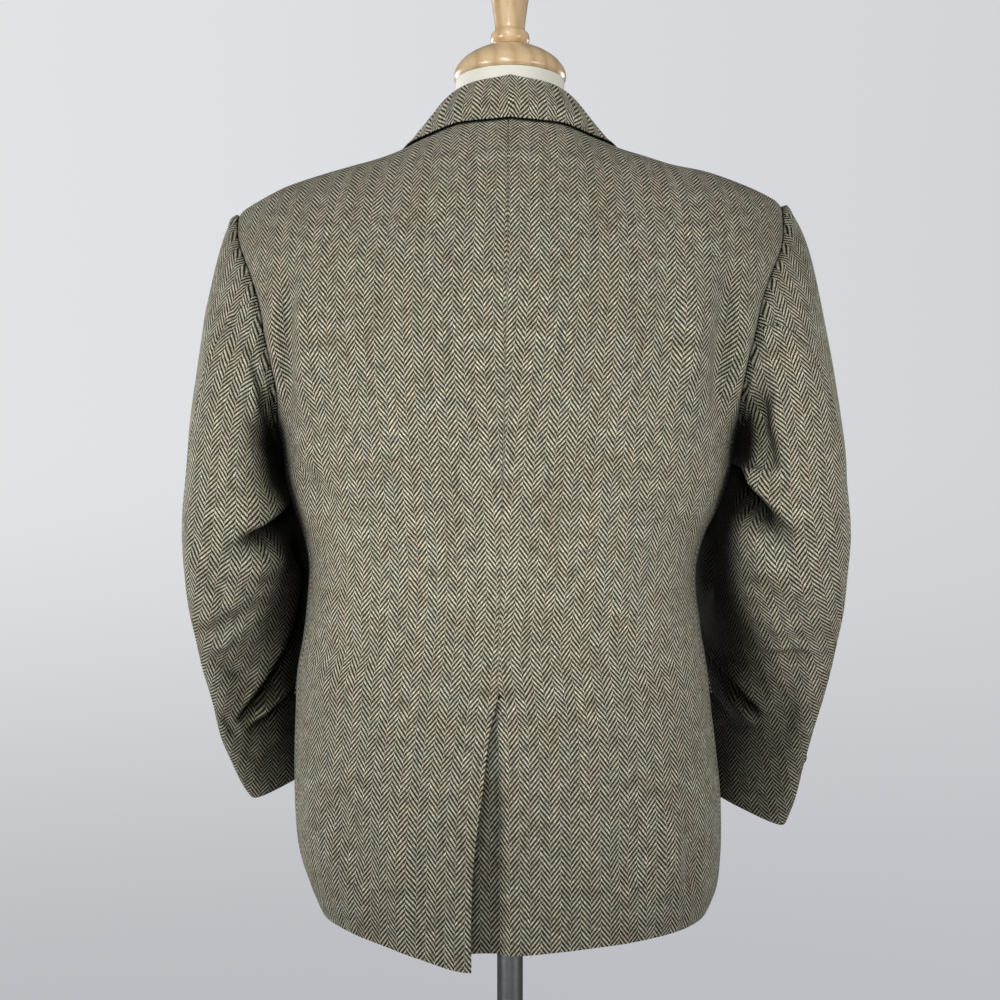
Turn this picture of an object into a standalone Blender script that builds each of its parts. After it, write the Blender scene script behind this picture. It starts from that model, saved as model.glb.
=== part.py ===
"""A herringbone tweed hacking jacket worn by a limbless dress form on a stand.

Metres, +Z up.  The origin is the middle of the base's underside, the jacket's front faces -Y,
and the wearer's left is +X.  Every cloth piece is a thin wall: a patch of the jacket's surface,
closed by the same patch moved in by the cloth's thickness.
"""
import math

import bmesh
import bpy
import numpy as np

# ---- cloth ----------------------------------------------------------------------------------
WALL = 0.0024
SEAM_GAP = 0.0003
LAY_GAP = 0.0005
WRAP_MARGIN = 0.0004
WRAP_RUN = (0.024, 0.055)
STEP = 1e-4
FINE_STEP = 1e-6

# ---- body of the jacket ---------------------------------------------------------------------
# Half widths to the wearer's left and right, and depths behind and before the stand's axis.
BODY_COLUMNS = ("height", "left", "right", "back", "front")
BODY_SECTIONS = (
    (0.790, 0.1840, 0.1880, 0.150, 0.148),
    (0.822, 0.1845, 0.1930, 0.150, 0.149),
    (0.842, 0.1930, 0.2015, 0.150, 0.150),
    (0.870, 0.2030, 0.2052, 0.150, 0.150),
    (0.945, 0.2100, 0.2040, 0.147, 0.150),
    (1.000, 0.2090, 0.1975, 0.141, 0.148),
    (1.060, 0.2073, 0.1905, 0.130, 0.147),
    (1.097, 0.2014, 0.1850, 0.122, 0.146),
    (1.124, 0.1985, 0.1820, 0.118, 0.146),
    (1.155, 0.1980, 0.1830, 0.118, 0.147),
    (1.180, 0.2030, 0.1900, 0.120, 0.148),
    (1.208, 0.2125, 0.2045, 0.124, 0.150),
    (1.240, 0.2195, 0.2150, 0.130, 0.152),
    (1.270, 0.2225, 0.2195, 0.136, 0.153),
    (1.305, 0.2350, 0.2320, 0.141, 0.152),
    (1.340, 0.2490, 0.2470, 0.145, 0.150),
    (1.367, 0.2580, 0.2570, 0.146, 0.149),
    (1.400, 0.2640, 0.2640, 0.147, 0.148),
    (1.443, 0.2730, 0.2740, 0.148, 0.147),
    (1.490, 0.2810, 0.2810, 0.148, 0.146),
    (1.620, 0.2950, 0.2950, 0.148, 0.146),
)
BACK_FULLNESS = 0.23
FRONT_FULLNESS = 0.05
BACK_TURN = 1.33
FRONT_TURN = 1.30

# The ridge of the shoulders, from the middle out to the sleeve.
RIDGE_COLUMNS = ("out", "left", "right")
RIDGE = (
    (0.000, 1.6000, 1.6000),
    (0.050, 1.5890, 1.5890),
    (0.083, 1.5680, 1.5680),
    (0.106, 1.5560, 1.5580),
    (0.129, 1.5475, 1.5510),
    (0.155, 1.5405, 1.5430),
    (0.190, 1.5305, 1.5360),
    (0.221, 1.5200, 1.5260),
    (0.245, 1.5080, 1.5165),
    (0.262, 1.4985, 1.5080),
    (0.275, 1.4900, 1.5005),
)
NECK_HALF = 0.083
NECK_COLUMNS = 4 / 12
NECK_BACK = 0.060
NECK_DRAW = 0.4
TIP_OUT = 0.2665

# ---- armholes, round from the shoulder tip over the back and up the front --------------------
ARMHOLE_COLUMNS = ("turn", "girth", "height")
ARMHOLE = (
    (20, 71.4, 1.468),
    (50, 65.5, 1.420),
    (90, 63.5, 1.364),
    (120, 66.5, 1.318),
    (142, 76.0, 1.290),
    (162, 87.0, 1.274),
    (180, 97.0, 1.270),
    (200, 108.0, 1.274),
    (220, 118.0, 1.290),
    (245, 122.5, 1.325),
    (270, 123.0, 1.368),
    (310, 117.0, 1.425),
    (340, 111.0, 1.468),
)
ARM_JOINT_TURNS = (142, 220)
ARM_JOINT_HEIGHT = 1.290
SIDE_DIP_START = 1.150
SIDE_SEAM = math.radians(76)
SEAM_TRIM = SEAM_GAP / 2 / 0.2
DART_SEAM = math.radians(118)

# ---- back seam and vent ----------------------------------------------------------------------
SEAM_COLUMNS = ("height", "out")
CENTRE_SEAM = ((0.78, 0.0110), (1.038, 0.0107), (1.25, 0.0060), (1.45, 0.0020), (1.62, 0.0015))
VENT_TOP = 1.038
VENT_ROW = 0.006
VENT_EDGE = ((0.78, 0.0328), (0.86, 0.0328), (0.91, 0.0300), (0.96, 0.0235), (1.01, 0.0175),
             (1.038, 0.0107))
UNDERLAP_OUT = 0.046
UNDERLAP_COLUMN = 1 / 12
UNDERLAP_INSET = 0.0045
UNDERLAP_TURN = 0.0104
UNDERLAP_SINK = 0.0020
UNDERLAP_SINK_RUN = (0.85, 1.00)

# ---- hem and front edge ----------------------------------------------------------------------
HEM = 0.822
HEM_DIP_LEFT = 0.020
HEM_DIP_RIGHT = 0.010
HEM_DIP_WIDTH = 0.085
HEM_DIP_RUN = (0.12, 0.17)
FRONT_HEM = 0.812
FRONT_HEM_RUN = (0.08, 0.16)
BREAK_HEIGHT = 1.262
FRONT_EDGE = (
    (0.800, 0.1000),
    (0.812, 0.0800),
    (0.8135, 0.0670),
    (0.818, 0.0520),
    (0.828, 0.0375),
    (0.845, 0.0240),
    (0.870, 0.0125),
    (0.910, 0.0020),
    (0.970, -0.0100),
    (1.040, -0.0170),
    (1.100, -0.0180),
    (1.262, -0.0180),
    (1.300, -0.0040),
    (1.400, 0.0340),
    (1.480, 0.0640),
    (1.520, 0.0775),
    (1.550, 0.0830),
    (1.620, 0.0830),
)

# ---- lapels, collar and flaps ------------------------------------------------------------------
LAPEL_COLUMNS = ("along", "width")
LAPEL_WIDTHS = ((0.0, 0.004), (0.08, 0.018), (0.25, 0.042), (0.5, 0.062), (0.75, 0.078), (1.0, 0.090))
LAPEL_TOP = 1.5215
LAPEL_GORGE = ((0.0, 0.0), (0.42, -0.0255), (1.0, -0.0380))
UNDER_BREAK_HEIGHT = 1.290
LAPEL_ROLL = 0.0035
LAPEL_TUCK = 0.0065
ROLL_RISE = 0.0045
ROLL_PLACE = 0.12
ROLL_SPREAD = 0.16
TIP_RISE = 0.0012
TIP_ACROSS = 0.4
TIP_ALONG = 0.5
# Seam, roll and outer edge of the collar in plan, and the roll's height over the jacket, from the
# centre back round to the front end.
COLLAR_COLUMNS = ("station", "seam_x", "seam_y", "roll_x", "roll_y", "stand", "edge_x", "edge_y")
COLLAR_STATIONS = (
    (0.0, 0.0000, 0.0600, 0.0000, 0.0500, 0.0320, 0.0000, 0.0680),
    (1.0, 0.0330, 0.0555, 0.0330, 0.0445, 0.0290, 0.0380, 0.0640),
    (2.0, 0.0610, 0.0420, 0.0600, 0.0300, 0.0225, 0.0720, 0.0480),
    (3.0, 0.0790, 0.0160, 0.0770, 0.0060, 0.0150, 0.0960, 0.0190),
    (4.0, 0.0800, -0.0200, 0.0810, -0.0220, 0.0120, 0.1120, -0.0160),
    (5.0, 0.0775, -0.0500, 0.0790, -0.0520, 0.0110, 0.1260, -0.0460),
    (5.5, 0.0760, -0.0620, 0.0775, -0.0650, 0.0105, 0.1360, -0.0640),
    (6.0, 0.0740, -0.0720, 0.0755, -0.0760, 0.0095, 0.1120, -0.0800),
)
COLLAR_LIFT = 0.0016
STAND_LIFT = 0.0014
STAND_INSET = 0.0016
ROLL_HALF = 0.0032
FALL_SHARES = (0.35, 0.70)
FALL_FULLNESS = 0.8
FLAP_LIFT = 0.0011
FLAP_DROP = 0.056
FLAP_FRONT = (math.radians(151), 1.112)
FLAP_REAR = (math.radians(99), 1.070)
FLAP_REAR_KICK = 0.006
FLAP_KICK_TOP = 0.4
FLAP_FALL = 0.0012
FLAP_CORNER = 0.006

# ---- sleeves -----------------------------------------------------------------------------------
# Rings down the sleeve: height of the middle, outer and inner reach, middle and half depth
# from front to back, and how far the ring leans out and back.
SLEEVE_COLUMNS = ("along", "height", "outer", "inner", "middle_y", "half_depth", "lean")
SLEEVE_LEFT = (
    (0.000, 1.240, 0.3140, 0.2240, -0.002, 0.078, 0),
    (0.055, 1.187, 0.3163, 0.2140, -0.005, 0.079, 4),
    (0.080, 1.160, 0.3125, 0.2075, -0.012, 0.074, 12),
    (0.120, 1.127, 0.3080, 0.2045, -0.027, 0.066, 23),
    (0.165, 1.088, 0.3015, 0.2020, -0.046, 0.061, 33),
    (0.205, 1.055, 0.2950, 0.1990, -0.063, 0.058, 38),
    (0.262, 1.010, 0.2880, 0.1910, -0.087, 0.055, 42),
    (0.303, 0.980, 0.2800, 0.1830, -0.102, 0.052, 44),
    (0.332, 0.959, 0.2735, 0.1770, -0.112, 0.050, 45),
    (0.354, 0.943, 0.2665, 0.1680, -0.119, 0.048, 45),
)
SLEEVE_RIGHT = (
    (0.000, 1.240, 0.3265, 0.2180, -0.002, 0.077, 0),
    (0.050, 1.192, 0.3290, 0.2045, -0.005, 0.079, 4),
    (0.080, 1.163, 0.3250, 0.2000, -0.012, 0.074, 12),
    (0.120, 1.130, 0.3212, 0.1950, -0.027, 0.066, 23),
    (0.165, 1.094, 0.3175, 0.1960, -0.046, 0.061, 33),
    (0.215, 1.055, 0.3115, 0.1960, -0.065, 0.058, 38),
    (0.270, 1.012, 0.3035, 0.1940, -0.087, 0.055, 42),
    (0.315, 0.976, 0.2990, 0.1880, -0.103, 0.052, 44),
    (0.360, 0.942, 0.2930, 0.1800, -0.117, 0.050, 45),
    (0.400, 0.914, 0.2850, 0.1710, -0.129, 0.048, 45),
)
SLEEVE_FULLNESS = 0.10
CAP_SHARE = 0.42
HEAD_BLEND = 0.06
CAP_START_REACH = {1: 0.100, -1: 0.113}
CAP_START_SHARE = 0.8
CAP_END_SHARE = 0.9
CAP_DROP = {1: 0.60, -1: 0.35}
RING_STEP = 0.03
RING_TILT = 0.3
CAP_END_REACH = 0.150
SLEEVE_SEAM_COLUMNS = ("share", "hind_left", "hind_right", "fore")
SLEEVE_SEAMS = (
    (0.00, 72, 72, 252),
    (0.25, 50, 50, 246),
    (0.45, 35, 38, 240),
    (0.70, 17, 24, 228),
    (1.00, -4, 4, 212),
)
SEAM_SETTLE = 0.25
SEAM_RADIUS = 0.045
VENT_SHARE = 0.83
VENT_OPEN = {1: 0.5, -1: 11.0}

# ---- how finely the panels are cut up --------------------------------------------------------------
PANEL_ROWS = 20
HEM_ROWS = (0.006, 0.018)
BACK_ACROSS = 12
SIDE_ACROSS = 4
FRONT_ACROSS = 9
COLLAR_AROUND = 25
COLLAR_ACROSS = 12
LAPEL_ROWS = 11
LAPEL_ACROSS = (0.0, 0.10, 0.22, 0.42, 0.70, 1.0)
FLAP_ROWS = 3
FLAP_ACROSS = 8
SLEEVE_ROWS = 20
ROW_ROOM = 0.45

# ---- buttons -------------------------------------------------------------------------------------
FRONT_BUTTON_HEIGHTS = (1.245, 1.145, 1.045)
FRONT_BUTTON_SIZE = (0.0105, 0.0042)
CUFF_BUTTON_SIZE = (0.0078, 0.0036)
CUFF_BUTTON_SHARES = (0.880, 0.915, 0.950)
CUFF_BUTTON_INSET = 16
BUTTON_SIDES = 10
# Profile of every button, in shares of its radius and height.
BUTTON_PROFILE = ((0, 0), (0.85, 0), (1, 0.4), (0.94, 1), (0, 1))

# ---- dress form and stand --------------------------------------------------------------------------
FORM_COLUMNS = ("height", "half_width", "back", "front")
FORM_SECTIONS = (
    (0.885, 0.168, 0.112, 0.105),
    (0.930, 0.172, 0.116, 0.108),
    (1.000, 0.168, 0.108, 0.108),
    (1.100, 0.152, 0.092, 0.106),
    (1.160, 0.150, 0.090, 0.108),
    (1.250, 0.166, 0.104, 0.118),
    (1.340, 0.184, 0.118, 0.124),
    (1.420, 0.196, 0.124, 0.122),
    (1.480, 0.200, 0.126, 0.118),
    (1.620, 0.200, 0.126, 0.116),
)
FORM_LOW_TOP = 1.460
FORM_TOP_ROWS = (1.490, 1.510, 1.522, 1.531, 1.539, 1.547, 1.556, 1.568, 1.582, 1.600)
FORM_SINK = 0.0030
FORM_TURN = 1.34
FORM_FULLNESS = 0.2
FORM_LOW_ROWS = 11
FORM_SIDES = 28
NECK_RADIUS = 0.0540
NECK_MIDDLE = -0.0140
NECK_BLEND = (1.545, 1.600)
NECK_TOP = 1.6300
CAP_PROFILE = ((0.0000, 1.6304), (0.0540, 1.6304), (0.0556, 1.6330), (0.0552, 1.6390),
               (0.0500, 1.6475), (0.0400, 1.6555), (0.0280, 1.6615), (0.0170, 1.6650),
               (0.0120, 1.6662), (0.0000, 1.6662))
FINIAL_PROFILE = ((0.0000, 1.6665), (0.0160, 1.6665), (0.0190, 1.6700), (0.0194, 1.6740),
                  (0.0185, 1.6780), (0.0152, 1.6812), (0.0150, 1.6860), (0.0160, 1.6950),
                  (0.0185, 1.7120), (0.0225, 1.7280), (0.0262, 1.7430), (0.0262, 1.7560),
                  (0.0222, 1.7680), (0.0140, 1.7760), (0.0000, 1.7790))
POLE_RADIUS = 0.0127
BASE_PROFILE = ((0.0000, 0.0000), (0.1880, 0.0000), (0.1900, 0.0020), (0.1900, 0.0090),
                (0.1860, 0.0125), (0.0400, 0.0165), (0.0240, 0.0185), (0.0220, 0.0400),
                (0.0180, 0.0420), (0.0000, 0.0420))

TWEED = ((0.27, 0.24, 0.18), 0.95, 0.0)
JERSEY = ((0.80, 0.77, 0.69), 0.90, 0.0)
BEECH = ((0.62, 0.38, 0.17), 0.28, 0.0)
STEEL = ((0.55, 0.56, 0.57), 0.35, 0.9)
HORN = ((0.09, 0.055, 0.03), 0.35, 0.0)


# ---- curves through tables ----------------------------------------------------------------------
def smooth(xs, ys):
    """A cubic through the points, with slopes from their neighbours, held at the ends."""
    xs = np.asarray(xs, float)
    ys = np.asarray(ys, float)
    runs = np.diff(xs)
    rises = np.diff(ys) / runs
    slopes = np.empty_like(ys)
    slopes[0] = rises[0]
    slopes[-1] = rises[-1]
    slopes[1:-1] = (rises[:-1] * runs[1:] + rises[1:] * runs[:-1]) / (runs[:-1] + runs[1:])

    def at(x):
        x = np.clip(x, xs[0], xs[-1])
        k = np.clip(np.searchsorted(xs, x, side="right") - 1, 0, len(runs) - 1)
        t = (x - xs[k]) / runs[k]
        h00 = (1 + 2 * t) * (1 - t) ** 2
        h10 = t * (1 - t) ** 2
        h01 = t * t * (3 - 2 * t)
        h11 = t * t * (t - 1)
        return h00 * ys[k] + h10 * runs[k] * slopes[k] + h01 * ys[k + 1] + h11 * runs[k] * slopes[k + 1]

    return at


def column(table, names, x_name, y_name):
    """The smooth curve of one named column of a table over another."""
    i = names.index(x_name)
    j = names.index(y_name)
    return smooth([row[i] for row in table], [row[j] for row in table])


def ramp(x, low, high):
    """0 below low, 1 above high, and a soft step between."""
    t = np.clip((x - low) / (high - low), 0, 1)
    return t * t * (3 - 2 * t)


SIDE_NAMES = {1: "left", -1: "right"}
HALF_WIDTH = {s: column(BODY_SECTIONS, BODY_COLUMNS, "height", n) for s, n in SIDE_NAMES.items()}
RIDGE_HEIGHT = {s: column(RIDGE, RIDGE_COLUMNS, "out", n) for s, n in SIDE_NAMES.items()}
BACK_DEPTH = column(BODY_SECTIONS, BODY_COLUMNS, "height", "back")
FRONT_DEPTH = column(BODY_SECTIONS, BODY_COLUMNS, "height", "front")
SEAM_OUT = column(CENTRE_SEAM, SEAM_COLUMNS, "height", "out")
VENT_OUT = column(VENT_EDGE, SEAM_COLUMNS, "height", "out")
EDGE_OUT = column(FRONT_EDGE, SEAM_COLUMNS, "height", "out")


# ---- the jacket's surface ---------------------------------------------------------------------------
def torso(side, girth, height, inset=0.0):
    """A point of the jacket's outside: girth 0 is the centre back, pi the centre front."""
    half = HALF_WIDTH[side](height)
    out = half * np.sin(girth)
    ridge = RIDGE_HEIGHT[side](np.abs(out))
    behind = np.cos(girth) >= 0
    turn = np.where(behind, BACK_TURN, FRONT_TURN)
    t = np.clip((height - turn) / (ridge - turn), 0, 1)
    turned = np.sqrt(1 - t * t)
    full = np.where(behind, BACK_FULLNESS, FRONT_FULLNESS)
    depth = np.where(behind, BACK_DEPTH(height), FRONT_DEPTH(height)) - inset
    y = depth * np.cos(girth) * (1 + full * np.sin(girth) ** 2) * turned
    y = y + np.where(behind, 0.5, -0.5) * SEAM_GAP * (1 - turned)
    z = np.minimum(height, ridge)
    return np.stack(np.broadcast_arrays(side * out, y, z), -1)


def height_over(side, out, y):
    """The height of the jacket's outside over a point of the plan, near the shoulders."""
    behind = y >= 0
    turn = np.where(behind, BACK_TURN, FRONT_TURN)
    full = np.where(behind, BACK_FULLNESS, FRONT_FULLNESS)
    ridge = RIDGE_HEIGHT[side](np.abs(out))
    height = np.full(np.broadcast(out, y).shape, 1.52)
    for _ in range(12):
        sine = np.clip(out / HALF_WIDTH[side](height), -1, 1)
        depth = np.where(behind, BACK_DEPTH(height), FRONT_DEPTH(height))
        reach = depth * np.sqrt(1 - sine ** 2) * (1 + full * sine ** 2)
        height = turn + (ridge - turn) * np.sqrt(np.clip(1 - (y / reach) ** 2, 0, 1))
    return height


def girth_at(side, out, height, front=False):
    """The girth angle of a point that lies so far out at this height."""
    angle = np.arcsin(np.clip(out / HALF_WIDTH[side](height), -1, 1))
    return math.pi - angle if front else angle


def rows_up(f):
    """Share of the way up a panel: even below, and closing up towards the top."""
    return (4 * f - f ** 4) / 3


def tip_height(side):
    return float(RIDGE_HEIGHT[side](TIP_OUT))


def armhole_curves(side):
    """Girth and height of the armhole over the turn, closed at the shoulder tip."""
    tip = tip_height(side)
    girth = math.degrees(girth_at(side, TIP_OUT, tip))
    rows = [(0, girth, tip), *ARMHOLE, (360, 180 - girth, tip)]
    return (column(rows, ARMHOLE_COLUMNS, "turn", "girth"), column(rows, ARMHOLE_COLUMNS, "turn", "height"))


ARM_GIRTH = {side: armhole_curves(side)[0] for side in SIDE_NAMES}
ARM_HEIGHT = {side: armhole_curves(side)[1] for side in SIDE_NAMES}


def armhole_turn(side, height, front):
    """The turn at which the armhole's edge has this height, behind or before the arm."""
    turns = np.linspace(180, 360, 721) if front else np.linspace(180, 0, 721)
    return np.interp(height, ARM_HEIGHT[side](turns), turns)


def armhole_girth(side, height, front):
    """Girth of the armhole's edge at a height, behind or before the arm."""
    return np.radians(ARM_GIRTH[side](armhole_turn(side, height, front)))


def armhole_low(side, girth):
    """Turn of the armhole's lower edge over a girth between the two seams."""
    turns = np.linspace(*ARM_JOINT_TURNS, 157)
    return np.interp(np.degrees(girth), ARM_GIRTH[side](turns), turns)


def seam_height(side, f):
    """Height on the side seam, dart seam and armhole of a row of the panels."""
    return HEM + (tip_height(side) - HEM) * rows_up(f)


def ridge_over(side, girth):
    """Height of the shoulder ridge where a girth meets it."""
    height = np.full(np.shape(girth), 1.55)
    for _ in range(8):
        height = RIDGE_HEIGHT[side](HALF_WIDTH[side](height) * np.sin(girth))
    return height


def hem_height(side, out, front=False):
    """The hem: level at the sides, dipping behind the vent and a little at the fronts."""
    if front:
        return HEM + (FRONT_HEM - HEM) * (1 - ramp(np.abs(out), *FRONT_HEM_RUN))
    dip = HEM_DIP_LEFT if side > 0 else HEM_DIP_RIGHT
    return HEM - dip * np.exp(-(out / HEM_DIP_WIDTH) ** 2) * (1 - ramp(out, *HEM_DIP_RUN))


def back_panel(side, c, f):
    """Back panel's girth, height and inset: c runs out from the centre seam, f from hem to top."""
    low = hem_height(side, 0.0)
    h = rows_up(f)
    inner_top = height_over(side, 0.0, NECK_BACK)
    inner_z = low + (inner_top - low) * h
    seam = side * SEAM_OUT(inner_z) + SEAM_GAP / 2
    if side > 0:
        inner = np.where(inner_z < VENT_TOP, VENT_OUT(inner_z), seam)
    else:
        inner = np.where(inner_z < VENT_TOP - VENT_ROW / 2, -UNDERLAP_OUT, seam)
    outer_z = seam_height(side, f)
    outer = np.where(outer_z <= ARM_JOINT_HEIGHT, SIDE_SEAM - SEAM_TRIM, armhole_girth(side, outer_z, False))
    tip_girth = girth_at(side, TIP_OUT, tip_height(side))
    corner_share = girth_at(side, NECK_HALF, float(RIDGE_HEIGHT[side](NECK_HALF))) / tip_girth
    round_neck = np.sin(np.clip(c / NECK_COLUMNS, 0, 1) * math.pi / 2)
    over_shoulder = np.clip((c - NECK_COLUMNS) / (1 - NECK_COLUMNS), 0, 1)
    top_share = corner_share * round_neck + (1 - corner_share) * over_shoulder
    share = c + (top_share - c) * ramp(f, NECK_DRAW, 1.0)
    inner_girth = girth_at(side, inner, inner_z)
    girth = inner_girth + (outer - inner_girth) * share
    if side < 0:
        fold_girth = girth_at(side, seam, inner_z)
        beyond = (share - UNDERLAP_COLUMN) / (1 - UNDERLAP_COLUMN)
        lapped = np.where(c < UNDERLAP_COLUMN,
                          inner_girth + (fold_girth - inner_girth) * c / UNDERLAP_COLUMN,
                          fold_girth + (outer - fold_girth) * beyond)
        girth = np.where(inner_z < VENT_TOP - VENT_ROW / 2, lapped, girth)
    ridge = ridge_over(side, top_share * tip_girth)
    top_out = HALF_WIDTH[side](ridge) * np.sin(top_share * tip_girth)
    neck_y = NECK_BACK * np.sqrt(np.clip(1 - (top_out / NECK_HALF) ** 2, 0, 1))
    top = np.where(c < NECK_COLUMNS - 1e-9, height_over(side, top_out, neck_y), ridge)
    bottom = hem_height(side, HALF_WIDTH[side](HEM) * np.sin(c * SIDE_SEAM))
    height = bottom + (top - bottom) * h
    out = HALF_WIDTH[side](height) * np.sin(girth)
    inset = 0.0
    if side < 0:
        under = ramp(-out, 0.0, UNDERLAP_TURN) * (1 - ramp(height, VENT_TOP, VENT_TOP + VENT_ROW))
        inset = under * (UNDERLAP_INSET + UNDERLAP_SINK * (1 - ramp(height, *UNDERLAP_SINK_RUN)))
    return girth, height, inset


def side_panel(side, c, f):
    """Side body: c runs from the side seam to the dart seam, f up the shared rows."""
    girth = SIDE_SEAM + SEAM_TRIM + (DART_SEAM - SIDE_SEAM - 2 * SEAM_TRIM) * c
    row = seam_height(side, f)
    dip = ARM_JOINT_HEIGHT - ARM_HEIGHT[side](armhole_low(side, girth))
    return girth, row - dip * ramp(row, SIDE_DIP_START, ARM_JOINT_HEIGHT), 0.0


def front_panel(side, c, f):
    """Front: c runs from the dart seam and armhole to the front edge and roll line."""
    h = rows_up(f)
    outer_z = seam_height(side, f)
    outer = np.where(outer_z <= ARM_JOINT_HEIGHT, DART_SEAM + SEAM_TRIM, armhole_girth(side, outer_z, True))
    tip_girth = girth_at(side, TIP_OUT, tip_height(side), True)
    neck_z = float(RIDGE_HEIGHT[side](NECK_HALF))
    inner_z = FRONT_HEM + (neck_z - FRONT_HEM) * h
    inner = girth_at(side, EDGE_OUT(inner_z), inner_z, True)
    girth = outer + (inner - outer) * c
    top = ridge_over(side, tip_girth + (girth_at(side, NECK_HALF, neck_z, True) - tip_girth) * c)
    low_girth = DART_SEAM + (girth_at(side, EDGE_OUT(FRONT_HEM), FRONT_HEM, True) - DART_SEAM) * c
    bottom = hem_height(side, HALF_WIDTH[side](HEM) * np.sin(low_girth), True)
    height = bottom + (top - bottom) * h
    inset = 0.0
    if side < 0:
        out = HALF_WIDTH[side](height) * np.sin(girth)
        inset = (WALL + LAY_GAP + WRAP_MARGIN) * (1 - ramp(out, *WRAP_RUN))
    return girth, height, inset


def torso_normal(side, girth, height):
    """Outward unit normal of the jacket's outside, upright along the shoulder's ridge."""
    height = np.minimum(height, ridge_over(side, girth) - 3 * FINE_STEP)
    across = torso(side, girth + STEP, height) - torso(side, girth - STEP, height)
    up = torso(side, girth, height + FINE_STEP) - torso(side, girth, height - FINE_STEP)
    n = -side * np.cross(across, up)
    return n / np.maximum(np.linalg.norm(n, axis=-1, keepdims=True), 1e-12)


# ---- sleeves ---------------------------------------------------------------------------------------
class Sleeve:
    """One sleeve: turn 0 is outermost, 90 behind, 180 innermost, 270 in front; q runs down it."""

    def __init__(self, side, table):
        self.side = side
        self.length = table[-1][0]
        self.columns = {name: column(table, SLEEVE_COLUMNS, "along", name) for name in SLEEVE_COLUMNS[1:]}

    def ring(self, turn, along):
        get = {name: curve(along) for name, curve in self.columns.items()}
        lean = np.radians(get["lean"])
        half = (get["outer"] - get["inner"]) / 2
        middle = (get["outer"] + get["inner"]) / 2
        full = 1 + SLEEVE_FULLNESS * np.sin(2 * turn + lean) ** 2
        x = half * np.cos(turn) * full
        y = get["half_depth"] * np.sin(turn + lean) * full
        before = {name: curve(along - RING_STEP) for name, curve in self.columns.items()}
        after = {name: curve(along + RING_STEP) for name, curve in self.columns.items()}
        drop = after["height"] - before["height"]
        drift = (after["outer"] + after["inner"] - before["outer"] - before["inner"]) / 2
        tilt_x = np.clip(-drift / drop, -RING_TILT, RING_TILT)
        tilt_y = -(after["middle_y"] - before["middle_y"]) / drop
        z = get["height"] + tilt_x * x + tilt_y * y
        return np.stack(np.broadcast_arrays(self.side * (middle + x), get["middle_y"] + y, z), -1)

    def edge(self, turn):
        """A point of the armhole's edge, as girth and height."""
        degrees = np.degrees(turn)
        return np.radians(ARM_GIRTH[self.side](degrees)), ARM_HEIGHT[self.side](degrees)

    def armhole(self, turn):
        """The sleeve's start: the armhole's edge moved off by the seam's gap, and its normal."""
        girth, height = self.edge(turn)
        point = torso(self.side, girth, height)
        normal = torso_normal(self.side, girth, height)
        low = np.clip(turn - 0.01, 0, 2 * math.pi)
        high = np.clip(turn + 0.01, 0, 2 * math.pi)
        tangent = torso(self.side, *self.edge(high)) - torso(self.side, *self.edge(low))
        away = -self.side * np.cross(normal, tangent)
        away = away / np.maximum(np.linalg.norm(away, axis=-1, keepdims=True), 1e-12)
        return point + away * SEAM_GAP, normal

    def reach_out(self, turn):
        """The way in which the sleeve leaves the armhole."""
        drop = -CAP_DROP[self.side] * np.cos(turn / 2) ** 8
        way = np.stack([np.full(turn.shape, float(self.side)), np.zeros(turn.shape), drop], -1)
        return way / np.linalg.norm(way, axis=-1, keepdims=True)

    def point(self, turn, q):
        turn, q = np.broadcast_arrays(np.asarray(turn, float), np.asarray(q, float))
        along = np.clip((q - CAP_SHARE) / (1 - CAP_SHARE), 0, 1) * self.length
        lower = self.ring(turn, along)
        start, _ = self.armhole(turn)
        way = self.reach_out(turn)
        end = self.ring(turn, np.zeros(turn.shape))
        down = self.ring(turn, np.full(turn.shape, 0.002)) - end
        down = down / np.linalg.norm(down, axis=-1, keepdims=True)
        span = np.linalg.norm(end - start, axis=-1, keepdims=True)
        t = np.clip(q / CAP_SHARE, 0, 1)[..., None]
        h00 = (1 + 2 * t) * (1 - t) ** 2
        h10 = t * (1 - t) ** 2
        h01 = t * t * (3 - 2 * t)
        h11 = t * t * (t - 1)
        pull = np.minimum(CAP_START_REACH[self.side], span * CAP_START_SHARE)
        push = np.minimum(CAP_END_REACH, span * CAP_END_SHARE)
        upper = h00 * start + h10 * pull * way + h01 * end + h11 * push * down
        return np.where((q < CAP_SHARE)[..., None], upper, lower)

    def normal(self, turn, q):
        q0, q1 = np.clip(q - STEP, 0, 1), np.clip(q + STEP, 0, 1)
        t0, t1 = np.clip(turn - STEP, 0, 2 * math.pi), np.clip(turn + STEP, 0, 2 * math.pi)
        around = self.point(t1, q) - self.point(t0, q)
        down = self.point(turn, q1) - self.point(turn, q0)
        n = -self.side * np.cross(around, down)
        n = n / np.maximum(np.linalg.norm(n, axis=-1, keepdims=True), 1e-12)
        _, seam = self.armhole(turn)
        share = ramp(q, 0.0, HEAD_BLEND)[..., None]
        n = seam * (1 - share) + n * share
        return n / np.maximum(np.linalg.norm(n, axis=-1, keepdims=True), 1e-12)


# ---- making solids -----------------------------------------------------------------------------------
def material(name, look):
    colour, roughness, metallic = look
    made = bpy.data.materials.new(name)
    made.use_nodes = True
    shader = made.node_tree.nodes["Principled BSDF"]
    shader.inputs["Base Color"].default_value = (*colour, 1)
    shader.inputs["Roughness"].default_value = roughness
    shader.inputs["Metallic"].default_value = metallic
    return made


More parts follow.
